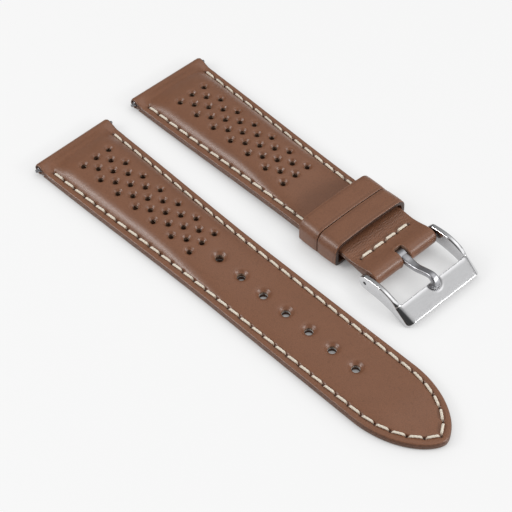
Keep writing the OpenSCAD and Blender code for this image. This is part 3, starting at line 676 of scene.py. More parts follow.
PERFORATIONS = {True: perforation_places(9.6), False: perforation_places(10.5)}


def crown_width(x, tail):
    w = half_width(x, tail)
    return np.maximum(np.maximum(w - EDGE_FLAT, 0.4 * w), 0.01)


def flat_height(x, tail):
    """Height of the grain side with no padding under it."""
    z = RIM_Z + (2 * ROLL_RADIUS - RIM_Z) * (1 - smooth((x - ROLL_RADIUS) / 3.2))
    if not tail:
        z = z + FLAP_STEP * smooth((x - BUCKLE_FLAP_END + 3.0) / FLAP_STEP_RUN)
        z = z + (2 * FOLD_RADIUS - RIM_Z - FLAP_STEP) * smooth((x - SHORT_LENGTH + FOLD_RUN) / FOLD_RUN)
    return z


def crown_height(x, tail):
    """The crown comes up out of the roll, and fades over the second third of the half."""
    nose = (1 - (1 - np.clip((x - ROLL_RADIUS) / CROWN_NOSE, 0, 1)) ** 2) * smooth((x - ROLL_RADIUS) / 2.0)
    if not tail:
        return PAD_RISE * nose * (1 - smooth((x - FADE_START) / (FADE_STOP - FADE_START)))
    rise = mix(PAD_RISE, TAIL_RISE, smooth((x - FADE_START) / TAIL_FADE))
    return rise * nose * (1 - smooth((x - TAIL_PAD_END - 1.0) / 11.0))


def top_height(x, y, tail):
    u = np.abs(y) / crown_width(x, tail)
    full = 1 - np.minimum(u, 3.0) ** CROWN_POWER
    full = 0.5 * (full + np.sqrt(full * full + 0.006))
    return flat_height(x, tail) + crown_height(x, tail) * full


def tunnel(off):
    """Half the height of the tunnel round a bar, so far from its middle."""
    return np.sqrt(np.maximum(0, TUNNEL_RADIUS ** 2 - off ** 2))


def flap_top(x, tail):
    """Top of the turned-back flap at the watch end, or of the longer one at the buckle."""
    if tail is None:
        t = smooth((x - SHORT_LENGTH + FOLD_RUN) / (FOLD_RUN - TUNNEL_RADIUS))
        return mix(BUCKLE_FLAP_Z, FOLD_RADIUS - GLUE, t)
    return mix(ROLL_RADIUS - GLUE, WATCH_FLAP_Z, smooth((x - TUNNEL_RADIUS - ROLL_RADIUS) / 1.6))


def back_height(x, y, tail):
    """Height of the flesh side of the top leather."""
    z = top_height(x, y, tail)
    thick = mix(SKIVED_THICK, UPPER_THICK, smooth((x - WATCH_FLAP_LENGTH + 0.2) / 1.2))
    z = np.where(x < WATCH_FLAP_LENGTH, np.maximum(flap_top(x, tail) + GLUE, z - SKIVED_THICK), z - thick)
    z = np.where(x < ROLL_RADIUS + TUNNEL_RADIUS, np.maximum(z, ROLL_RADIUS + tunnel(x - ROLL_RADIUS)), z)
    if not tail:
        z = np.where(x > BUCKLE_FLAP_END - 0.1, flap_top(x, None) + GLUE, z)
        to_bar = SHORT_LENGTH - x
        z = np.where(to_bar < TUNNEL_RADIUS, np.maximum(z, FOLD_RADIUS + tunnel(to_bar)), z)
    return z


felt = cloth_material("padding_felt", (0.62, 0.50, 0.36), 900.0, 0.00008, 0.95)


def make_padding(name, node, tail, stop, lay, body):
    x = np.linspace(PAD_START, stop, 90)
    fill = 1 - PAD_GAP / crown_height(x, tail)
    y = crown_width(x, tail) * np.maximum(0.1, fill) ** (1 / CROWN_POWER)
    starts = pairs(x[0], np.linspace(0, y[0], 12)[:-1])
    ends = pairs(x[-1], np.linspace(y[-1], 0, 12)[1:])
    outline = both_sides(np.concatenate([starts, pairs(x, y), ends]))

    def surface(points, q):
        low = LAYER_FLOOR + TAPE_THICK + GLUE
        top = np.maximum(low + 0.02, back_height(points[:, 0], points[:, 1], tail) - GLUE)
        return np.stack([points[:, 0], points[:, 1], mix(top, low, q)], 1)

    holes = [round_hole(a, b, PERFORATION_RADIUS, 20) for a, b in PERFORATIONS[tail]]
    if tail:
        holes += [round_hole(a, 0.0, HOLE_RADIUS, 32) for a in HOLE_STATIONS]
    corners, faces, finish, _ = cut_sheet(outline, holes, [], surface, 0.8, 0.08, 0.05)
    piece = make_piece(name, lay(corners), faces, [felt, felt, fibre, felt], finish)
    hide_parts(node)
    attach(piece, body)


make_padding("tail_padding_felt", "tail_padding", True, TAIL_PAD_END, lay_tail_half, "tail_half")
make_padding("buckle_half_padding_felt", "short_padding", False, SHORT_PAD_END,
             lay_buckle_half, "buckle_half")


# Top leather: smooth brown calf, grain side out. At the watch end it is skived and rolled
# round the spring bar, and on the buckle half it is folded round the buckle's bar, with a
# slot for the tongue. It is punched from above, so the rim of each hole is drawn down.
LIP_WIDTH = 0.42
LIP_DEPTH = 0.58
BUCKLE_LIP_WIDTH = 0.56
BUCKLE_LIP_DEPTH = 0.72
CROSS_HOLES = 3.75 * np.arange(-2, 3)
SLOT_HALF = 1.22
SLOT_BACK = 1.38
SLOT_CORNER = 0.5
CREASE_STATIONS = (71.6, 75.0)
CREASES = ((1.0, 0.62, 1.6, 1.1, 0.0, 1.7, 3.1), (1.0, 0.43, 2.2, 1.9, 1.0, 2.9, -4.3),
           (0.7, 0.34, 2.6, 2.7, 2.0, 3.7, 5.9))
CALF = (0.262, 0.116, 0.063)
calf = calf_material("brown_calf", CALF, (0.055, 0.022, 0.012), 0.36, 0.34, 0.00003, 5200.0)
edge_paint = painted_edge("brown_edge_paint", (0.165, 0.076, 0.045))
leather_paints = [calf, edge_paint, fibre, fibre]
ROLL_BOTTOM = ROLL_RADIUS - math.pi * ROLL_RADIUS
FLAP_START = ROLL_BOTTOM - (WATCH_FLAP_LENGTH - ROLL_RADIUS)
FOLD_BOTTOM = SHORT_LENGTH + math.pi * FOLD_RADIUS
FLAP_STOP = FOLD_BOTTOM + SHORT_LENGTH - BUCKLE_FLAP_END


def roll_turn(a):
    return np.clip((ROLL_RADIUS - a) / ROLL_RADIUS, 0, math.pi)


def fold_turn(a):
    return np.clip((a - SHORT_LENGTH) / FOLD_RADIUS, 0, math.pi)


def station(a, tail):
    """How far along the half a point of the flat cut lies once it is rolled and folded."""
    x = np.where(a < ROLL_BOTTOM, ROLL_RADIUS + ROLL_BOTTOM - a, a)
    rolled = (a >= ROLL_BOTTOM) & (a < ROLL_RADIUS)
    x = np.where(rolled, ROLL_RADIUS - ROLL_RADIUS * np.sin(roll_turn(a)), x)
    if not tail:
        x = np.where(a > SHORT_LENGTH, SHORT_LENGTH + FOLD_RADIUS * np.sin(fold_turn(a)), x)
        x = np.where(a > FOLD_BOTTOM, SHORT_LENGTH - (a - FOLD_BOTTOM), x)
    return x


def grain_side(a, y, tail):
    x = station(a, tail)
    z = top_height(x, y, tail)
    z = np.where(a < ROLL_RADIUS, ROLL_RADIUS + ROLL_RADIUS * np.cos(roll_turn(a)), z)
    z = np.where(a < ROLL_BOTTOM, flap_underside(x, True), z)
    if not tail:
        z = np.where(a > SHORT_LENGTH, FOLD_RADIUS + FOLD_RADIUS * np.cos(fold_turn(a)), z)
        z = np.where(a > FOLD_BOTTOM, flap_underside(x, False), z)
    return np.stack([x, y, z], 1)


def flesh_side(a, y, tail):
    x = station(a, tail)
    z = back_height(x, y, tail)
    turn = roll_turn(a)
    rolled = (a >= ROLL_BOTTOM) & (a < ROLL_RADIUS)
    xf = np.where(rolled, ROLL_RADIUS - TUNNEL_RADIUS * np.sin(turn), x)
    z = np.where(rolled, ROLL_RADIUS + TUNNEL_RADIUS * np.cos(turn), z)
    low = np.minimum(ROLL_RADIUS - tunnel(x - ROLL_RADIUS), ROLL_RADIUS - GLUE)
    flap = np.where(x < ROLL_RADIUS + TUNNEL_RADIUS, low, flap_top(x, tail))
    z = np.where(a < ROLL_BOTTOM, flap, z)
    if not tail:
        turn = fold_turn(a)
        folded = (a > SHORT_LENGTH) & (a <= FOLD_BOTTOM)
        xf = np.where(folded, SHORT_LENGTH + TUNNEL_RADIUS * np.sin(turn), xf)
        z = np.where(folded, FOLD_RADIUS + TUNNEL_RADIUS * np.cos(turn), z)
        to_bar = SHORT_LENGTH - x
        low = np.minimum(FOLD_RADIUS - tunnel(to_bar), FOLD_RADIUS - GLUE)
        flap = np.where(to_bar < TUNNEL_RADIUS, low, flap_top(x, None))
        z = np.where(a > FOLD_BOTTOM, flap, z)
    return np.stack([xf, y, z], 1)


def pricked(points, holes, line):
    """How far the thread has drawn the leather down: deep at its holes, a little between."""
    both = np.concatenate([holes, holes[np.abs(holes[:, 1]) > 0.01] * (1, -1)])
    tree = tree_of(both)
    off = from_row(points, line)
    pit = np.zeros(len(points))
    for i in np.nonzero(off < 0.9)[0]:
        d = tree.find((points[i, 0], points[i, 1], 0.0))[2]
        lengthwise = math.sqrt(max(0.0, d * d - off[i] ** 2))
        pit[i] = math.exp(-((lengthwise / 0.42) ** 2) - (off[i] / 0.27) ** 2)
    return pit, np.exp(-(off / 0.5) ** 2)


def leather_relief(points, tail):
    """Depth that punching, stitching and folding press into the grain, and the painted shade laid into its
    pits, grooves, hole rims and crease hollows.
    """
    line, holes = ROWS[tail]
    pit, groove = pricked(points, holes, line)
    x, y = points[:, 0], points[:, 1]
    groove = groove * smooth((x - FIRST_STITCH + 0.6) / 0.8)
    if not tail:
        groove = groove * (x < SHORT_ROW_END + 0.8)
        for b in CROSS_HOLES:
            pit = np.maximum(pit, np.exp(-((x - CROSS_ROW) / 0.34) ** 2 - ((y - b) / 0.34) ** 2))
        cross = np.exp(-((x - CROSS_ROW) / 0.5) ** 2) * smooth((CROSS_HOLES[-1] + 0.6 - np.abs(y)) / 0.8)
        groove = np.maximum(groove, cross)
    deep = 0.50 * pit + 0.10 * groove
    # Painted shade: darkest in the pricked holes, a little along the thread's groove.
    dark = 0.9 * pit + 0.12 * groove
    places = [(a, b, PERFORATION_RADIUS, LIP_WIDTH, LIP_DEPTH) for a, b in PERFORATIONS[tail]]
    if tail:
        places += [(a, 0.0, HOLE_RADIUS, BUCKLE_LIP_WIDTH, BUCKLE_LIP_DEPTH) for a in HOLE_STATIONS]
    for a, b, r, width, depth in places:
        near = (np.abs(x - a) < r + 2.0) & (np.abs(y - b) < r + 2.0)
        d = np.hypot(x[near] - a, y[near] - b) - r
        lip = np.exp(-np.maximum(0.0, d / width) ** 2)
        deep[near] += depth * lip
        # Painted shade just inside the rim of each hole.
        dark[near] += 0.15 * np.exp(-np.maximum(0.0, (d - 0.02) / 0.12) ** 2)
    wave = 0.006 * np.sin(x * 0.61 + 1.3) * np.sin(y * 0.47 + 0.4) + 0.004 * np.sin(x * 1.37 - y * 0.9)
    deep = deep + wave * smooth((x - 3) / 3)
    if not tail:
        where = (smooth((x - CREASE_STATIONS[0] + 1.4) / 1.6)
                 * (1 - smooth((x - CREASE_STATIONS[1] + 0.5) / 1.4)))
        bent = x + 0.10 * np.sin(y * 0.7 + 0.8) + 0.05 * np.sin(y * 2.3)
        folds = np.zeros(len(x))
        for share, pitch, sway, wave, start, slow, drift in CREASES:
            fold = np.sin(bent * 2 * math.pi / pitch + sway * np.sin(y * wave + start))
            folds = folds + share * fold * np.sin(y * slow + bent * drift)
        deep = deep + 0.030 * folds * where
        # Painted shade in the crease hollows.
        dark = dark + 0.08 * where * np.clip(folds, 0, 1)
        past_end = np.maximum(0, SHORT_LENGTH - SLOT_BACK + SLOT_CORNER - x)
        slot = np.hypot(past_end, np.maximum(0, np.abs(y) - SLOT_HALF + SLOT_CORNER)) - SLOT_CORNER
        deep = deep - 0.14 * np.exp(-((slot - 0.35) / 0.3) ** 2) * (x > 74)
    return deep, np.clip(dark, 0, 1)


def leather_surface(tail):
    def surface(points, q):
        a, y = points[:, 0], points[:, 1]
        face, back = grain_side(a, y, tail), flesh_side(a, y, tail)
        e = 0.02
        along = grain_side(a + e, y, tail) - grain_side(a - e, y, tail)
        across = grain_side(a, y + e, tail) - grain_side(a, y - e, tail)
        up = np.cross(along, across)
        up /= np.maximum(1e-9, np.linalg.norm(up, axis=1))[:, None]
        deep = leather_relief(points, tail)[0]
        face = face - up * deep[:, None]
        return mix(face, back, q[:, None])
    return surface


def hole_rings(places, radius, step, gaps):
    rings = []
    for a, b in places:
        for g in gaps:
            n = max(16, int(2 * math.pi * (radius + g) / step))
            rings.append(round_hole(a, b, radius + g, n))
    return rings


def grid_of(xs, ys):
    return pairs(np.tile(xs, len(ys)), np.repeat(ys, len(xs)))


def tongue_slot():
    """The slot over the bar, on the flat cut, with its four corners rounded."""
    start, stop = SHORT_LENGTH - SLOT_BACK + SLOT_CORNER, FOLD_BOTTOM + SLOT_BACK - SLOT_CORNER
    inner = SLOT_HALF - SLOT_CORNER
    turn = np.linspace(0, math.pi / 2, 9)
    straight = np.arange(start + 0.2, stop - 0.1, 0.2)
    end = np.arange(-inner + 0.15, inner - 0.1, 0.15)
    near = pairs(start - SLOT_CORNER * np.cos(turn), -SLOT_HALF + SLOT_CORNER - SLOT_CORNER * np.sin(turn))
    far = pairs(stop + SLOT_CORNER * np.sin(turn), -SLOT_HALF + SLOT_CORNER - SLOT_CORNER * np.cos(turn))
    return np.concatenate([near, pairs(straight, -SLOT_HALF), far, pairs(stop + SLOT_CORNER, end),
                           (far * (1, -1))[::-1], pairs(straight[::-1], SLOT_HALF), (near * (1, -1))[::-1],
                           pairs(start - SLOT_CORNER, end[::-1])])


def make_leather(name, node, tail, lay, body):
    roll = np.arange(FLAP_START, ROLL_RADIUS - 0.05, 0.22)
    parts = [pairs(roll, half_width(station(roll, tail), tail))]
    parts.insert(0, pairs(FLAP_START, np.linspace(0, parts[0][0, 1], 31)[:-1]))
    if tail:
        parts.append(tail_side(ROLL_RADIUS))
    else:
        x = np.arange(ROLL_RADIUS, SHORT_LENGTH, 0.4)
        fold = np.append(np.arange(SHORT_LENGTH, FOLD_BOTTOM, 0.2),
                         np.arange(FOLD_BOTTOM, FLAP_STOP + 0.01, 0.4))
        set_back = UNDER_SET_IN * smooth((fold - SHORT_LENGTH - 2.0) / (FOLD_BOTTOM - SHORT_LENGTH))
        under = pairs(fold, STRAP_WIDTH / 2 - set_back)
        under[-1, 0] = FLAP_STOP
        parts += [pairs(x, half_width(x, False)), under,
                  pairs(FLAP_STOP, np.linspace(under[-1, 1], 0, 25)[1:])]
    outline = both_sides(np.concatenate(parts))
    holes = [round_hole(a, b, PERFORATION_RADIUS, 24) for a, b in PERFORATIONS[tail]]
    fine = hole_rings(PERFORATIONS[tail], PERFORATION_RADIUS, 0.26, (0.24, 0.36, 0.50, 0.68, 0.90))
    if tail:
        holes += [round_hole(a, 0.0, HOLE_RADIUS, 36) for a in HOLE_STATIONS]
        middles = [(a, 0.0) for a in HOLE_STATIONS]
        fine += hole_rings(middles, HOLE_RADIUS, 0.3, (0.26, 0.42, 0.62, 0.86, 1.14))
    else:
        holes.append(tongue_slot())
        folded = np.arange(SHORT_LENGTH - 4.6, FOLD_BOTTOM + 3.5, 0.22)
        fine.append(grid_of(folded, np.linspace(-9.4, 9.4, 58)))
        creased = np.arange(CREASE_STATIONS[0] - 0.8, CREASE_STATIONS[1] + 0.6, 0.10)
        fine.append(grid_of(creased, np.arange(-9.1, 9.1, 0.22)))
    line = ROWS[tail][0]
    fine.append(along_row(line, (-0.75, -0.55, -0.4, -0.27, -0.13, 0, 0.13, 0.27, 0.4, 0.55, 0.75), 0.18))
    rolled = np.arange(FLAP_START + 0.2, ROLL_RADIUS + 0.4, 0.22)
    fine.append(grid_of(rolled, np.linspace(-10.5, 10.5, 40)))
    corners, faces, finish, cut = cut_sheet(outline, holes, fine, leather_surface(tail), 0.5, 0.5, 0.12,
                                            back_round=0.12)
    piece = make_piece(name, lay(corners), faces, leather_paints, finish)
    # The painted shade of the relief is kept on the mesh for the calf material.
    keep_value(piece, "pressed_shade", leather_relief(cut, tail)[1])
    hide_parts(node)
    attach(piece, body)


make_leather("tail_top_calf", "tail_top_leather", True, lay_tail_half, "tail_half")
make_leather("buckle_half_top_calf", "short_top_leather", False, lay_bent_half, "buckle_half")


# Thread: thick waxed linen in cream, saddle-stitched in a row on each side of a half and
# in one row across the fold. Each run is plump and dives into its two pricked holes; the
# under thread lies in the groove of the lining.
THREAD_RADIUS = 0.31
UNDER_THREAD_Z = 0.30
TWIST = 2.3
TOP_DIVE = 0.62
UNDER_DIVE = 0.24
STANDS_UP = 0.13
CROSS_STANDS_UP = 0.15
LEAN = 0.18
CROSS_LEAN = 0.1
linen, linen_tree, linen_yarn = new_paint("cream_linen", {"Roughness": 0.62, "Sheen Weight": 0.25,
                                                          "Sheen Roughness": 0.4})
linen_place = add_node(linen_tree, "TexCoord")
linen_fuzz = add_node(linen_tree, "TexNoise", {"Scale": 9000.0, "Detail": 3.0})
linen_tint = add_node(linen_tree, "ValToRGB")
colour_steps(linen_tint, (0.25, (0.70, 0.60, 0.46)), (0.6, (0.95, 0.87, 0.74)))
# Painted shade: the thread turns dark brown where it dives into its holes.
linen_dive_shade = add_node(linen_tree, "Attribute", attribute_name="drawn_in")
linen_mix = add_node(linen_tree, "Mix", {7: (0.30, 0.19, 0.12, 1)}, data_type="RGBA")
linen_bump = add_node(linen_tree, "Bump", {"Strength": 0.5, "Distance": 0.00003})
link(linen_tree, (linen_place, "Object", linen_fuzz, "Vector"), (linen_fuzz, "Fac", linen_tint, "Fac"),
     (linen_dive_shade, "Fac", linen_mix, 0), (linen_tint, "Color", linen_mix, 6),
     (linen_mix, 2, linen_yarn, "Base Color"), (linen_fuzz, "Fac", linen_bump, "Height"),
     (linen_bump, "Normal", linen_yarn, "Normal"))


def ring_faces(m, n, closed=False, turned_over=False):
    """Faces between m rings of n points each."""
    faces = []
    for i in range(m if closed else m - 1):
        i2 = (i + 1) % m
        for j in range(n):
            k = (j + 1) % n
            a, b, c, d = i * n + j, i2 * n + j, i2 * n + k, i * n + k
            faces.append([a, d, c, b] if turned_over else [a, b, c, d])
    return faces


def thread_run(start, stop, level, under, lean):
    """One run of three twisted plies between two holes, as corners, faces and depth."""
    along, around = 22, 15
    u = np.linspace(0, 1, along)
    mid = 2 * np.abs(u - 0.5)
    dive = np.clip((mid - 0.62) / 0.38, 0, 1)
    span = stop - start
    pitch = np.linalg.norm(span)
    t = span / pitch
    side = np.array([-t[1], t[0]])
    s = mix(0.07, 0.93, u)
    centre = start + span * s[:, None] + side * (lean * (0.5 - s))[:, None]
    sink = -1 if under else 1
    z = level + sink * (0.05 * (1 - mid ** 2) - (UNDER_DIVE if under else TOP_DIVE) * dive ** 2.2)
    r = THREAD_RADIUS * mix(1.0, 0.62, smooth(dive)) * (0.86 if under else 1.0)
    phi = round_about(around)
    turn = 2 * math.pi * s * pitch / TWIST
    ply = r[:, None] * (0.93 + 0.09 * np.cos(3 * (phi[None, :] - turn[:, None])))
    out = np.cos(phi)[None, :] * ply
    up = np.sin(phi)[None, :] * ply * 0.93
    ring = np.stack([centre[:, 0:1] + side[0] * out, centre[:, 1:2] + side[1] * out, z[:, None] + up], 2)
    corners = np.concatenate([ring.reshape(-1, 3), [ring[0].mean(0)], [ring[-1].mean(0)]])
    faces = ring_faces(along, around)
    last = (along - 1) * around
    for j in range(around):
        k = (j + 1) % around
        faces.append([along * around, j, k])
        faces.append([along * around + 1, last + k, last + j])
    # depth also sets how much painted shade the run gets where it sinks into a hole.
    depth = np.append(np.repeat(smooth((mid - 0.72) / 0.25), around), [1, 1])
    return corners, faces, depth


def sew(name, node, runs, lay, body):
    corners, faces, depth, count = [], [], [], 0
    for run in runs:
        c, f, d = thread_run(*run)
        corners.append(c)
        faces += [[i + count for i in face[::-1]] for face in f]
        depth.append(d)
        count += len(c)
    piece = make_piece(name, lay(np.concatenate(corners)), faces, [linen])
    # Painted shade on the thread where it sinks into its holes.
    keep_value(piece, "drawn_in", 0.75 * np.concatenate(depth))
    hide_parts(node)
    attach(piece, body)


def side_runs(tail, under):
    runs = []
    holes = ROWS[tail][1]
    for side in (-1, 1):
        for a, b in zip(holes[:-1], holes[1:]):
            p, q = a * (1, side), b * (1, side)
            top = float(flat_height(np.array([(p[0] + q[0]) / 2]), tail)[0])
            runs.append((p, q, UNDER_THREAD_Z if under else top + STANDS_UP, under, LEAN * side))
    return runs


for half, is_tail, half_lay, half_body in (("short", False, lay_bent_half, "buckle_half"),
                                           ("tail", True, lay_tail_half, "tail_half")):
    for face, is_under in (("top", False), ("under", True)):
        sew(f"{half}_{face}_thread", f"{half}_{face}_stitches", side_runs(is_tail, is_under),
            half_lay, half_body)
cross_points = [np.array([CROSS_ROW, y]) for y in CROSS_HOLES]
cross_top = float(flat_height(np.array([CROSS_ROW]), False)[0]) + CROSS_STANDS_UP
cross_runs = [(a, b, level, is_under, CROSS_LEAN)
              for level, is_under in ((cross_top, False), (UNDER_THREAD_Z, True))
              for a, b in zip(cross_points[:-1], cross_points[1:])]
sew("cross_thread", "cross_stitches", cross_runs, lay_bent_half, "buckle_half")


# Keepers: two closed bands of the same calf, folded with their edges turned in, glued
# over a stiff core and joined under the strap. One stays put, where the turned-back
# leather of the fold ends; the other is free to slide along the buckle half.
KEEPER_WIDTH = 5.8
KEEPER_THICK = 1.15
KEEPER_HALF = 10.0
KEEPER_LOW = -0.12
KEEPER_HIGH = 4.35
KEEPER_CROWN = 0.35
KEEPER_CORNER = 1.6
KEEPER_FOOT = 0.3
KEEPER_ARRIS = 0.24
INNER_ARRIS = 0.15
BEAD_INSET = 0.62
FIXED_KEEPER_AT = 68.0
LOOSE_KEEPER_AT = 62.08
KEEPER_SHARE = 0.27
# Edge paint made far darker than the strap's: real edge paint plus painted shade on the keepers' edge faces.
keeper_shaded_edge = painted_edge("keeper_edge_paint_and_shade", (0.06, 0.028, 0.018))
keeper_calf = calf_material("keeper_calf", shade(CALF, 1.03), (0.07, 0.03, 0.018),
                            0.40, 0.36, 0.000035, 5200.0)


def lay_fixed_keeper(p):
    """The keeper tips up with the leather under it, by a part of the hump."""
    return lay_bent_half(p, KEEPER_SHARE)


def keeper_path():
    """The inside of the band across the strap, with its outward directions."""
    def crown(y):
        return KEEPER_HIGH + KEEPER_CROWN * (1 - (y / KEEPER_HALF) ** 2)

    def bend(cy, cz, r, start, stop, n):
        a = np.radians(np.linspace(start, stop, n))
        way = pairs(np.cos(a), np.sin(a))
        return np.array([cy, cz]) + r * way, way

    edge = KEEPER_HALF - KEEPER_CORNER
    tilt = math.degrees(math.atan(2 * KEEPER_CROWN * edge / KEEPER_HALF ** 2))
    y = np.linspace(edge, -edge, 60)
    slope = 2 * KEEPER_CROWN * y / KEEPER_HALF ** 2
    top_way = pairs(slope, 1.0) / np.sqrt(1 + slope ** 2)[:, None]
    corner_z = crown(edge) - KEEPER_CORNER
    foot_y, foot_z = KEEPER_HALF - KEEPER_FOOT, KEEPER_LOW + KEEPER_FOOT
    parts = [(pairs(y, crown(y)), top_way),
             bend(-edge, corner_z, KEEPER_CORNER, 92 + tilt, 180, 14),
             bend(-foot_y, foot_z, KEEPER_FOOT, 180, 270, 10)]
    low = np.linspace(-foot_y, foot_y, 44)[1:-1]
    parts.append((pairs(low, KEEPER_LOW), pairs(0.0 * low, -1.0)))
    parts += [bend(foot_y, foot_z, KEEPER_FOOT, 270, 360, 10),
              bend(edge, corner_z, KEEPER_CORNER, 0, 88 - tilt, 14)]
    return np.concatenate([p[0] for p in parts]), np.concatenate([p[1] for p in parts])


def keeper_section():
    """Across the band's width: a rounded strip, its outer face a little domed."""
    points = []
    w, t = KEEPER_WIDTH / 2, KEEPER_THICK
    outer, inner = KEEPER_ARRIS, INNER_ARRIS
    for cx, cn, r, start in ((w - outer, t - outer, outer, 0), (-w + outer, t - outer, outer, 90),
                             (-w + inner, inner, inner, 180), (w - inner, inner, inner, 270)):
        for a in np.radians(np.linspace(start, start + 90, 7)):
            points.append((cx + r * math.cos(a), cn + r * math.sin(a)))
        if start == 0:
            points += [(x, t) for x in np.linspace(w - outer, -w + outer, 16)[1:-1]]
        if start == 180:
            points += [(x, 0.0) for x in np.linspace(-w + inner, w - inner, 8)[1:-1]]
    return np.array(points)


def make_keeper(name, node, middle, phase, lay, body):
    path, way = keeper_path()
    section = keeper_section()
    m, n = len(path), len(section)
    y, z = np.repeat(path[:, 0], n), np.repeat(path[:, 1], n)
    wy, wz = np.repeat(way[:, 0], n), np.repeat(way[:, 1], n)
    x, thick = np.tile(section[:, 0], m), np.tile(section[:, 1], m)
    outer = smooth((thick - 0.4) / 0.5)
    dome = -0.09 * (x / (KEEPER_WIDTH / 2)) ** 4
    hand = 0.012 * np.sin(y * 0.8 + phase) * np.sin(x * 0.9 + phase) + 0.010 * np.sin(y * 0.31 + 2 * phase)
    join = np.exp(-((y - 3.5 - 0.1 * x) / 0.22) ** 2) * (z < 1.0)
    from_bead = np.abs(x) - KEEPER_WIDTH / 2 + BEAD_INSET
    bead = -0.05 * np.exp(-(from_bead / 0.10) ** 2)
    thick = thick + outer * (dome + hand + bead - 0.14 * join)
    corners = np.stack([middle + x, y + wy * thick, z + wz * thick], 1)
    faces = ring_faces(m, n, closed=True, turned_over=True)
    out = np.abs(section[:, 0])
    finish = np.tile(np.minimum(out, np.roll(out, -1)) > KEEPER_WIDTH / 2 - 0.04, m).astype(int)
    piece = make_piece(name, lay(corners), faces, [keeper_calf, keeper_shaded_edge], finish)
    # Painted shade in the join's groove and along the bead line.
    keep_value(piece, "pressed_shade", outer * (0.8 * join + 0.25 * np.exp(-(from_bead / 0.12) ** 2)))
    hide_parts(node)
    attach(piece, body)


make_keeper("fixed_keeper_band", "fixed_keeper", FIXED_KEEPER_AT, 0.4, lay_fixed_keeper, "buckle_half")
make_keeper("loose_keeper_band", "loose_keeper", LOOSE_KEEPER_AT, 1.9, lay_buckle_half, "loose_keeper")


# Spring bars: a thin steel tube whose ends are crimped in over two sprung plungers. The
# watch bars reach into the lugs of the case, and the third carries the buckle.
BAR_RADIUS = 0.9
BAR_BORE = 0.72
BAR_LIP = 0.4
NECK_RADIUS = 0.56
TIP_RADIUS = 0.4
HEAD_RADIUS = 0.67
RUN_FIT = 0.05
HEAD_PLAY = 0.02
HEAD_LENGTH = 1.6
TIP_TRAVEL = 1.05
WIRE_RADIUS = 0.1
CLOSED_PITCH = 0.24
COIL_PITCH = 0.95
WATCH_BAR = (10.55, 10.92, 11.8)
BUCKLE_BAR = (9.45, 9.9, 11.11)


def steel_material(name, tone, rough, stretch, depth, spread):
    """Stainless steel with the fine lines of its last brushing or polishing."""
    paint, tree, steel = new_paint(name, {"Metallic": 1.0})
    place = add_node(tree, "TexCoord")
    scale = add_node(tree, "Mapping", {"Scale": stretch})
    lines = add_node(tree, "TexNoise", {"Scale": 1.0, "Detail": 6.0, "Roughness": 0.7})
    tint = add_node(tree, "ValToRGB")
    colour_steps(tint, (0.3, shade(tone, 0.9)), (0.7, shade(tone, 1.05)))
    worn = add_node(tree, "MapRange", {"To Min": rough - spread, "To Max": rough + spread})
    bump = add_node(tree, "Bump", {"Strength": 0.5, "Distance": depth})
    link(tree, (place, "Object", scale, "Vector"), (scale, "Vector", lines, "Vector"),
         (lines, "Fac", tint, "Fac"), (tint, "Color", steel, "Base Color"),
         (lines, "Fac", worn, "Value"), (worn, 0, steel, "Roughness"),
         (lines, "Fac", bump, "Height"), (bump, "Normal", steel, "Normal"))
    return paint


# A darker steel than the frame's: painted shade for the bar tips that sit in the tunnels and ears.
bar_steel = steel_material("turned_steel", (0.32, 0.32, 0.33), 0.36, (300.0, 22000.0, 300.0), 0.000004, 0.06)


def turned(profile, centre, way, n=40):
    """Turns a closed profile of (along, radius) about a bar's axis; way is 1 or -1."""
    a = round_about(n)
    along, r = profile[:, 0] * way, profile[:, 1]
    x = centre[0] + np.outer(r, np.cos(a))
    z = centre[1] + np.outer(r, np.sin(a))
    y = np.repeat(along[:, None], n, 1)
    corners = np.stack([x, y, z], 2).reshape(-1, 3)
    m = len(profile)
    faces = []
    for i in range(m):
        k = (i + 1) % m
        if r[i] < 1e-6 and r[k] < 1e-6:
            continue
        for j in range(n):
            b = (j + 1) % n
            face = [i * n + j, i * n + b, k * n + b, k * n + j]
            if r[i] < 1e-6:
                face = [i * n, k * n + b, k * n + j]
            if r[k] < 1e-6:
                face = [i * n + j, i * n + b, k * n]
            faces.append(face[::-1] if way > 0 else face)
    used = sorted({c for f in faces for c in f})
    new = {c: i for i, c in enumerate(used)}
    return corners[used], [[new[c] for c in f] for f in faces]


def tube_profile(half):
    """The tube's section: a bevelled end with a shallow crimp, its mirror, and the bore."""
    lip, neck = half - BAR_LIP, NECK_RADIUS + RUN_FIT
    crimp = BAR_RADIUS - 0.035
    end = ((0.02, neck + 0.02), (0.0, 0.70), (0.03, 0.80), (0.10, 0.87), (0.22, BAR_RADIUS),
           (0.85, BAR_RADIUS), (0.92, crimp), (1.05, crimp), (1.12, BAR_RADIUS))
    outer = [(-half + a, r) for a, r in end]
    inner = [(lip, neck), (lip, BAR_BORE), (-lip, BAR_BORE), (-lip, neck)]
    return np.array(outer + [(-a, r) for a, r in outer[::-1]] + inner)


def plunger_profile(half, shoulder, reach):
    """The plunger's section: a stem for the spring, the head, the neck and a domed tip."""
    head = half - BAR_LIP - HEAD_PLAY
    stem = HEAD_RADIUS / 2
    return np.array([
        (head - 2.6, 0), (head - 2.6, stem - 0.08), (head - 2.52, stem), (head - HEAD_LENGTH, stem),
        (head - HEAD_LENGTH, HEAD_RADIUS - 0.06), (head - 1.54, HEAD_RADIUS), (head - 0.05, HEAD_RADIUS),
        (head, HEAD_RADIUS - 0.05), (head, NECK_RADIUS), (shoulder - 0.05, NECK_RADIUS),
        (shoulder, NECK_RADIUS - 0.05), (shoulder, TIP_RADIUS + 0.02), (shoulder + 0.03, TIP_RADIUS),
        (reach - 0.18, TIP_RADIUS), (reach - 0.09, TIP_RADIUS - 0.05), (reach - 0.02, TIP_RADIUS - 0.15),
        (reach, TIP_RADIUS - 0.26), (reach, 0)])


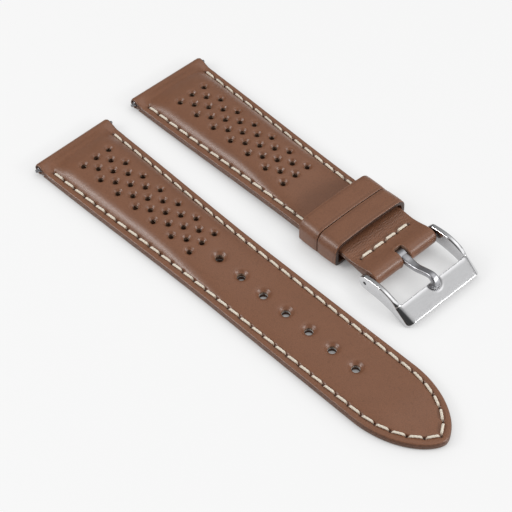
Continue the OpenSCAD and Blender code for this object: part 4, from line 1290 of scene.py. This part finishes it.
def coil(half, centre):
    """A compression spring with one closed turn at each end."""
    room = half - BAR_LIP - HEAD_PLAY - HEAD_LENGTH - TIP_TRAVEL - 0.1
    turns = int((2 * room - 0.2) // COIL_PITCH)
    length = turns * COIL_PITCH
    n, around = turns * 20, 8
    t = np.linspace(0, turns, n + 1)
    along = np.interp(t, [0, 1, turns - 1, turns], [0, CLOSED_PITCH, length - CLOSED_PITCH, length])
    a, phi = 2 * math.pi * t, round_about(around)
    out = HEAD_RADIUS - 0.1 + WIRE_RADIUS * np.cos(phi)[None, :]
    x = centre[0] + out * np.cos(a)[:, None]
    z = centre[1] + out * np.sin(a)[:, None]
    y = -length / 2 + along[:, None] + WIRE_RADIUS * np.sin(phi)[None, :]
    corners = np.stack([x, y, z], 2).reshape(-1, 3)
    faces = [list(range(around))[::-1], [n * around + j for j in range(around)]]
    return corners, faces + ring_faces(n + 1, around, turned_over=True)


def make_bar(prefix, centre, lengths, lay, body):
    """lengths are the tube's half length, the plungers' shoulder and their reach."""
    half, near, far = lengths[0], prefix + "_near_tip", prefix + "_far_tip"
    plunger = plunger_profile(*lengths)
    made = [(prefix + "_tube", turned(tube_profile(half), centre, 1), body),
            (prefix + "_spring", coil(half, centre), body),
            (near, turned(plunger, centre, -1), near), (far, turned(plunger, centre, 1), far)]
    for node, (corners, faces), rides in made:
        piece = make_piece(node + "_turned", lay(corners), faces, [bar_steel], sharp=35)
        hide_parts(node)
        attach(piece, rides)


roll_centre = (ROLL_RADIUS, ROLL_RADIUS)
bar_centre = (SHORT_LENGTH, FOLD_RADIUS)
make_bar("short_bar", roll_centre, WATCH_BAR, lay_buckle_half, "buckle_half")
make_bar("tail_bar", roll_centre, WATCH_BAR, lay_tail_half, "tail_half")
make_bar("buckle_bar", bar_centre, BUCKLE_BAR, lay_buckle_half, "buckle_half")


# Buckle frame: forged and machined steel, two arched arms with an ear on the spring bar
# and a broad crossbar that slopes down. Its face is brushed lengthwise; the edges, the
# slanting bevels at its ends and the arms are polished.
EAR_RADIUS = 1.75
ARM_REACH = 9.8
ARM_ARCH = 0.95
UNDER_ARCH = 0.80
FOOT_LENGTH = 1.2
FACE_WIDTH = 4.9
FACE_THICK = 1.7
SLOPE_COS, SLOPE_SIN = 0.857167, 0.515038
FACE_ALONG = np.array([SLOPE_COS, -SLOPE_SIN])
FACE_DOWN = np.array([-SLOPE_SIN, -SLOPE_COS])
FACE_INNER = np.array([9.8, 0.0184])
OUTER_LOW = FACE_INNER + FACE_WIDTH * FACE_ALONG + FACE_THICK * FACE_DOWN
BUCKLE_INSIDE = 10.15
BUCKLE_OUTSIDE = 11.35
NOTCH_HALF = 1.35
NOTCH_LENGTH = 1.9
NOTCH_DROP = 0.75
EAR_ARC = EAR_RADIUS * math.pi / 2
BEVEL_ANGLE = math.radians(7)
BEVEL_WIDTH = 1.2 / math.cos(BEVEL_ANGLE)
BEVEL_TURN = math.tan(BEVEL_ANGLE)
FRAME_STEEL = (0.66, 0.66, 0.67)
brushed_steel = steel_material("brushed_steel", FRAME_STEEL, 0.24, (26000.0, 420.0, 26000.0), 0.000006, 0.07)
polished_steel = steel_material("polished_steel", FRAME_STEEL, 0.13, (2500.0, 2500.0, 2500.0), 0.000002, 0.03)


def on_slope(f, down=0.0):
    """A place so far down the crossbar's sloping face, and so deep under it."""
    return (FACE_INNER[0] + f * FACE_ALONG[0] + down * FACE_DOWN[0],
            FACE_INNER[1] + f * FACE_ALONG[1] + down * FACE_DOWN[1])


def frame_top(a):
    turn = math.pi / 2 * np.clip(-a / EAR_ARC, 0, 1)
    x = np.where(a < 0, -EAR_RADIUS * np.sin(turn), a)
    t = np.clip(a / ARM_REACH, 0, 1)
    arch = mix(EAR_RADIUS, FACE_INNER[1], t) + ARM_ARCH * np.sin(math.pi * t)
    z = np.where(a < 0, EAR_RADIUS * np.cos(turn), arch)
    face_x, face_z = on_slope(np.clip(a - ARM_REACH, 0, None))
    return np.where(a > ARM_REACH, face_x, x), np.where(a > ARM_REACH, face_z, z)


def frame_bottom(a):
    """Underside of the arms, which ends in the flat foot under the crossbar."""
    turn = math.pi / 2 * np.clip(-a / EAR_ARC, 0, 1)
    x = np.clip(a, 0, None) * OUTER_LOW[0] / (ARM_REACH + FACE_WIDTH)
    t = 1 - np.clip(x / (OUTER_LOW[0] - FOOT_LENGTH), 0, 1)
    z = mix(OUTER_LOW[1], -EAR_RADIUS, t) + UNDER_ARCH * np.sin(math.pi * t) * (1 - 0.3 * t)
    return np.where(a < 0, -EAR_RADIUS * np.sin(turn), x), np.where(a < 0, -EAR_RADIUS * np.cos(turn), z)


def bevel_width(a):
    full = BEVEL_WIDTH - (FACE_WIDTH - (a - ARM_REACH)) * BEVEL_TURN
    return full * smooth((a - ARM_REACH + 2.6) / 2.6)


def notch_distance(a, y):
    centre = ARM_REACH + NOTCH_LENGTH - NOTCH_HALF
    return np.where(a > centre, np.hypot(a - centre, y), np.abs(y)) - NOTCH_HALF


def frame_surface(points, q):
    a, y = points[:, 0], points[:, 1]
    out, beyond = np.abs(y), a - ARM_REACH
    side = bevel_width(a) - (BUCKLE_OUTSIDE - out)
    near_end = smooth((beyond + 0.6) / 0.8)
    side = (0.5 * (side + np.sqrt(side * side + 0.03 * near_end ** 2))
            + 0.09 * near_end * np.clip(1 + side, 0, 1) ** 2)
    shoulder = (0.11 * np.clip(1 - beyond / 1.0, 0, 1) ** 2
                + 0.045 * np.clip(1 - (FACE_WIDTH - beyond) / 1.4, 0, 1) ** 2)
    on_arm = ((1 - smooth((beyond + 2.6) / 2.2)) * smooth((a + EAR_ARC - 0.2) / 1.1)
              * (out > BUCKLE_INSIDE - 0.05))
    s_out = np.clip(out - BUCKLE_OUTSIDE + 0.36, 0, 0.36)
    s_in = np.clip(BUCKLE_INSIDE + 0.30 - out, 0, 0.30)
    arris = (0.8 * s_out ** 2 + 0.4 * s_in + s_in ** 2) * on_arm
    d = notch_distance(a, y)
    notch = (NOTCH_DROP * smooth((0.02 - d) / 0.12)
             + 0.28 * np.exp(-(np.maximum(0, d) / 0.42) ** 2) * (beyond > -0.1))
    drop = side + shoulder * (beyond > 0) + arris + notch
    along = np.clip((beyond + 2.0) / 2.0, 0, 1)
    tx, tz = frame_top(a)
    tx, tz = tx + drop * FACE_DOWN[0] * along, tz + drop * mix(-1.0, FACE_DOWN[1], along)
    bx, bz = frame_bottom(a)
    cx, cz = on_slope(np.clip(beyond, -0.6, None), FACE_THICK)
    arm = smooth((out - BUCKLE_INSIDE + 0.14) / 0.11)
    bx, bz = mix(cx, bx, arm), mix(cz, bz, arm)
    return np.stack([SHORT_LENGTH + mix(tx, bx, q), y, FOLD_RADIUS + mix(tz, bz, q)], 1)


def frame_outline():
    stop = ARM_REACH + FACE_WIDTH
    r, ri = 0.85, 0.5
    arc = np.linspace(0, math.pi / 2, 9)
    outer_corner = pairs(stop - r + r * np.sin(arc), BUCKLE_OUTSIDE - r + r * np.cos(arc))
    inner_corner = pairs(ARM_REACH - ri + ri * np.sin(arc), BUCKLE_INSIDE - ri + ri * np.cos(arc))
    half = np.concatenate([
        pairs(ARM_REACH, np.arange(0.0, BUCKLE_INSIDE - ri - 0.1, 0.2)), inner_corner[::-1],
        pairs(np.arange(ARM_REACH - ri - 0.2, -EAR_ARC + 0.05, -0.2), BUCKLE_INSIDE),
        pairs(-EAR_ARC, np.linspace(BUCKLE_INSIDE, BUCKLE_OUTSIDE, 7)[:-1]),
        pairs(np.arange(-EAR_ARC, stop - r - 0.1, 0.2), BUCKLE_OUTSIDE), outer_corner,
        pairs(stop, np.arange(BUCKLE_OUTSIDE - r - 0.2, 0.01, -0.2))])
    other = half[::-1] * (1, -1)
    other = other[np.abs(other[:, 1]) > 1e-6]
    loop = np.concatenate([half, other])
    area = np.sum(loop[:, 0] * np.roll(loop[:, 1], -1) - np.roll(loop[:, 0], -1) * loop[:, 1])
    return loop if area > 0 else loop[::-1]


def modified(body, *tools):
    """A body's corners and faces with its modifiers done; it and its tools are removed."""
    done = body.evaluated_get(bpy.context.evaluated_depsgraph_get()).to_mesh()
    corners = np.array([v.co[:] for v in done.vertices])
    faces = [list(p.vertices) for p in done.polygons]
    for scrap in (body, *tools):
        mesh = scrap.data
        bpy.data.objects.remove(scrap)
        bpy.data.meshes.remove(mesh)
    return corners, faces


def bored(corners, faces, radius, length):
    """The same body with a round hole along the buckle's bar, cut by a boolean."""
    body = make_piece("uncut", corners, faces, [])
    rod = np.array([(-length, 0), (-length, radius), (length, radius), (length, 0)])
    cutter = make_piece("cutter", *turned(rod, bar_centre, 1, 48), [])
    cut = body.modifiers.new("bore", "BOOLEAN")
    cut.operation = "DIFFERENCE"
    cut.object = cutter
    cut.solver = "EXACT"
    cut.use_self = True
    return modified(body, cutter)


frame_fine = []
face_stop = ARM_REACH + FACE_WIDTH
for side in (-1, 1):
    a_line = np.arange(-EAR_ARC + 0.9, ARM_REACH - 2.6, 0.13)
    for off in (BUCKLE_INSIDE + 0.20, BUCKLE_INSIDE + 0.30, BUCKLE_OUTSIDE - 0.43, BUCKLE_OUTSIDE - 0.35,
                BUCKLE_OUTSIDE - 0.27, BUCKLE_OUTSIDE - 0.20):
        frame_fine.append(pairs(a_line, side * off))
    a_line = np.arange(ARM_REACH - 2.5, face_stop - 0.3, 0.12)
    for off in (-0.09, -0.03, 0.03, 0.09):
        frame_fine.append(pairs(a_line, side * (BUCKLE_OUTSIDE - bevel_width(a_line) + off)))
    a_line = np.arange(ARM_REACH + 0.3, face_stop - 0.3, 0.1)
    for off in (-0.12, -0.07, -0.02, 0.03, 0.08):
        frame_fine.append(pairs(a_line, side * (BUCKLE_INSIDE + off)))
notch_turn = np.linspace(-math.pi / 2, math.pi / 2, 25)
notch_centre = ARM_REACH + NOTCH_LENGTH - NOTCH_HALF
for off in (-0.16, -0.10, -0.05, 0.0, 0.05, 0.12, 0.25, 0.4, 0.55):
    r = NOTCH_HALF + off
    frame_fine.append(pairs(notch_centre + r * np.cos(notch_turn), r * np.sin(notch_turn)))
    back = np.arange(ARM_REACH + 0.22, notch_centre - 0.05, 0.09)
    frame_fine += [pairs(back, -r), pairs(back, r)]
frame_corners, frame_faces = cut_sheet(frame_outline(), [], frame_fine, frame_surface, 0.24, 0.12, 0.1)[:2]
frame_corners, frame_faces = bored(frame_corners, frame_faces, TIP_RADIUS + RUN_FIT, 14.0)
brushed = []
for face in frame_faces:
    p = frame_corners[face]
    n = np.cross(p, np.roll(p, -1, 0)).sum(0)
    flat_on = -n[[0, 2]] @ FACE_DOWN / max(1e-12, np.linalg.norm(n))
    brushed.append(int(flat_on > 0.88 and p[:, 0].mean() > SHORT_LENGTH + ARM_REACH - 0.1))
buckle = make_piece("buckle_frame_forged", lay_buckle_half(frame_corners), frame_faces,
                    [polished_steel, brushed_steel], brushed, sharp=38)
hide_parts("buckle_frame")
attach(buckle, "buckle_frame")


# Tongue: a steel pin with an eye round the buckle's bar. Its shank dips behind the eye,
# rises over the window, and its flattened tip bends down into the notch.
EYE_RADIUS = 1.55
EYE_WIDTH = 2.2
SQUARENESS = 0.6
TONGUE_LINE = np.array([
    (0.35, 0.50, 0.85, 1.02), (1.0, 0.52, 0.80, 1.07), (1.764, 0.44, 0.76, 1.08),
    (2.6, 0.27, 0.75, 1.07), (3.528, 0.20, 0.74, 1.0), (5.194, 0.29, 0.73, 0.89),
    (7.252, 0.93, 0.71, 0.86), (8.6, 1.26, 0.71, 0.86), (9.2, 1.30, 0.72, 0.89),
    (9.78, 1.10, 0.73, 0.95), (10.28, 0.62, 0.70, 0.98), (10.66, 0.12, 0.64, 0.96),
    (10.92, -0.30, 0.54, 0.86), (11.06, -0.60, 0.38, 0.68), (11.12, -0.76, 0.18, 0.46)])
tongue_steel = steel_material("tongue_steel", (0.46, 0.46, 0.48), 0.38, (5000.0, 1500.0, 5000.0),
                              0.000004, 0.05)


def through(points, n):
    """A smooth curve through the given points, in n steps between each two."""
    p = np.concatenate([[2 * points[0] - points[1]], points, [2 * points[-1] - points[-2]]])
    out = []
    for i in range(1, len(p) - 2):
        a, b, c, d = p[i - 1:i + 3]
        for t in np.linspace(0, 1, n, endpoint=False):
            out.append(0.5 * (2 * b + (c - a) * t + (2 * a - 5 * b + 4 * c - d) * t ** 2
                              + (3 * b - 3 * c + d - a) * t ** 3))
    out.append(points[-1])
    return np.array(out)


def tongue_shank():
    line = through(TONGUE_LINE, 7)
    way = unit(np.gradient(line[:, :2], axis=0))
    m, n = len(line), 36
    phi = round_about(n)
    c, s = np.cos(phi), np.sin(phi)
    wide = np.sign(c) * np.abs(c) ** SQUARENESS
    high = np.sign(s) * np.abs(s) ** SQUARENESS
    x = line[:, 0:1] - way[:, 1:2] * line[:, 2:3] * high
    z = line[:, 1:2] + way[:, 0:1] * line[:, 2:3] * high
    y = line[:, 3:4] * wide
    corners = np.stack([SHORT_LENGTH + x, y, FOLD_RADIUS + z], 2).reshape(-1, 3)
    faces = [list(range(n)), [(m - 1) * n + j for j in range(n)][::-1]]
    return corners, faces + ring_faces(m, n)


w, e = EYE_WIDTH / 2, 0.22
eye_profile = [(-w, 0.6)]
for turn in np.linspace(0, math.pi / 2, 6):
    eye_profile.append((-w + e - e * math.cos(turn), EYE_RADIUS - e + e * math.sin(turn)))
eye_profile += [(-y, r) for y, r in eye_profile[::-1]]
eye_corners, eye_faces = turned(np.array(eye_profile), bar_centre, 1, 64)
shank_corners, shank_faces = tongue_shank()
blank = make_piece("tongue_blank", np.concatenate([eye_corners, shank_corners]),
                   eye_faces + [[i + len(eye_corners) for i in f] for f in shank_faces], [])
weld = blank.modifiers.new("weld", "REMESH")
weld.mode = "VOXEL"
weld.voxel_size = 0.055
even = blank.modifiers.new("even", "SMOOTH")
even.factor = 0.5
even.iterations = 6
tongue_corners, tongue_faces = bored(*modified(blank), TUNNEL_RADIUS, 3.0)
tongue = make_piece("buckle_tongue_forged", lay_buckle_half(tongue_corners), tongue_faces,
                    [tongue_steel], sharp=50)
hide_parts("buckle_tongue")
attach(tongue, "buckle_tongue")
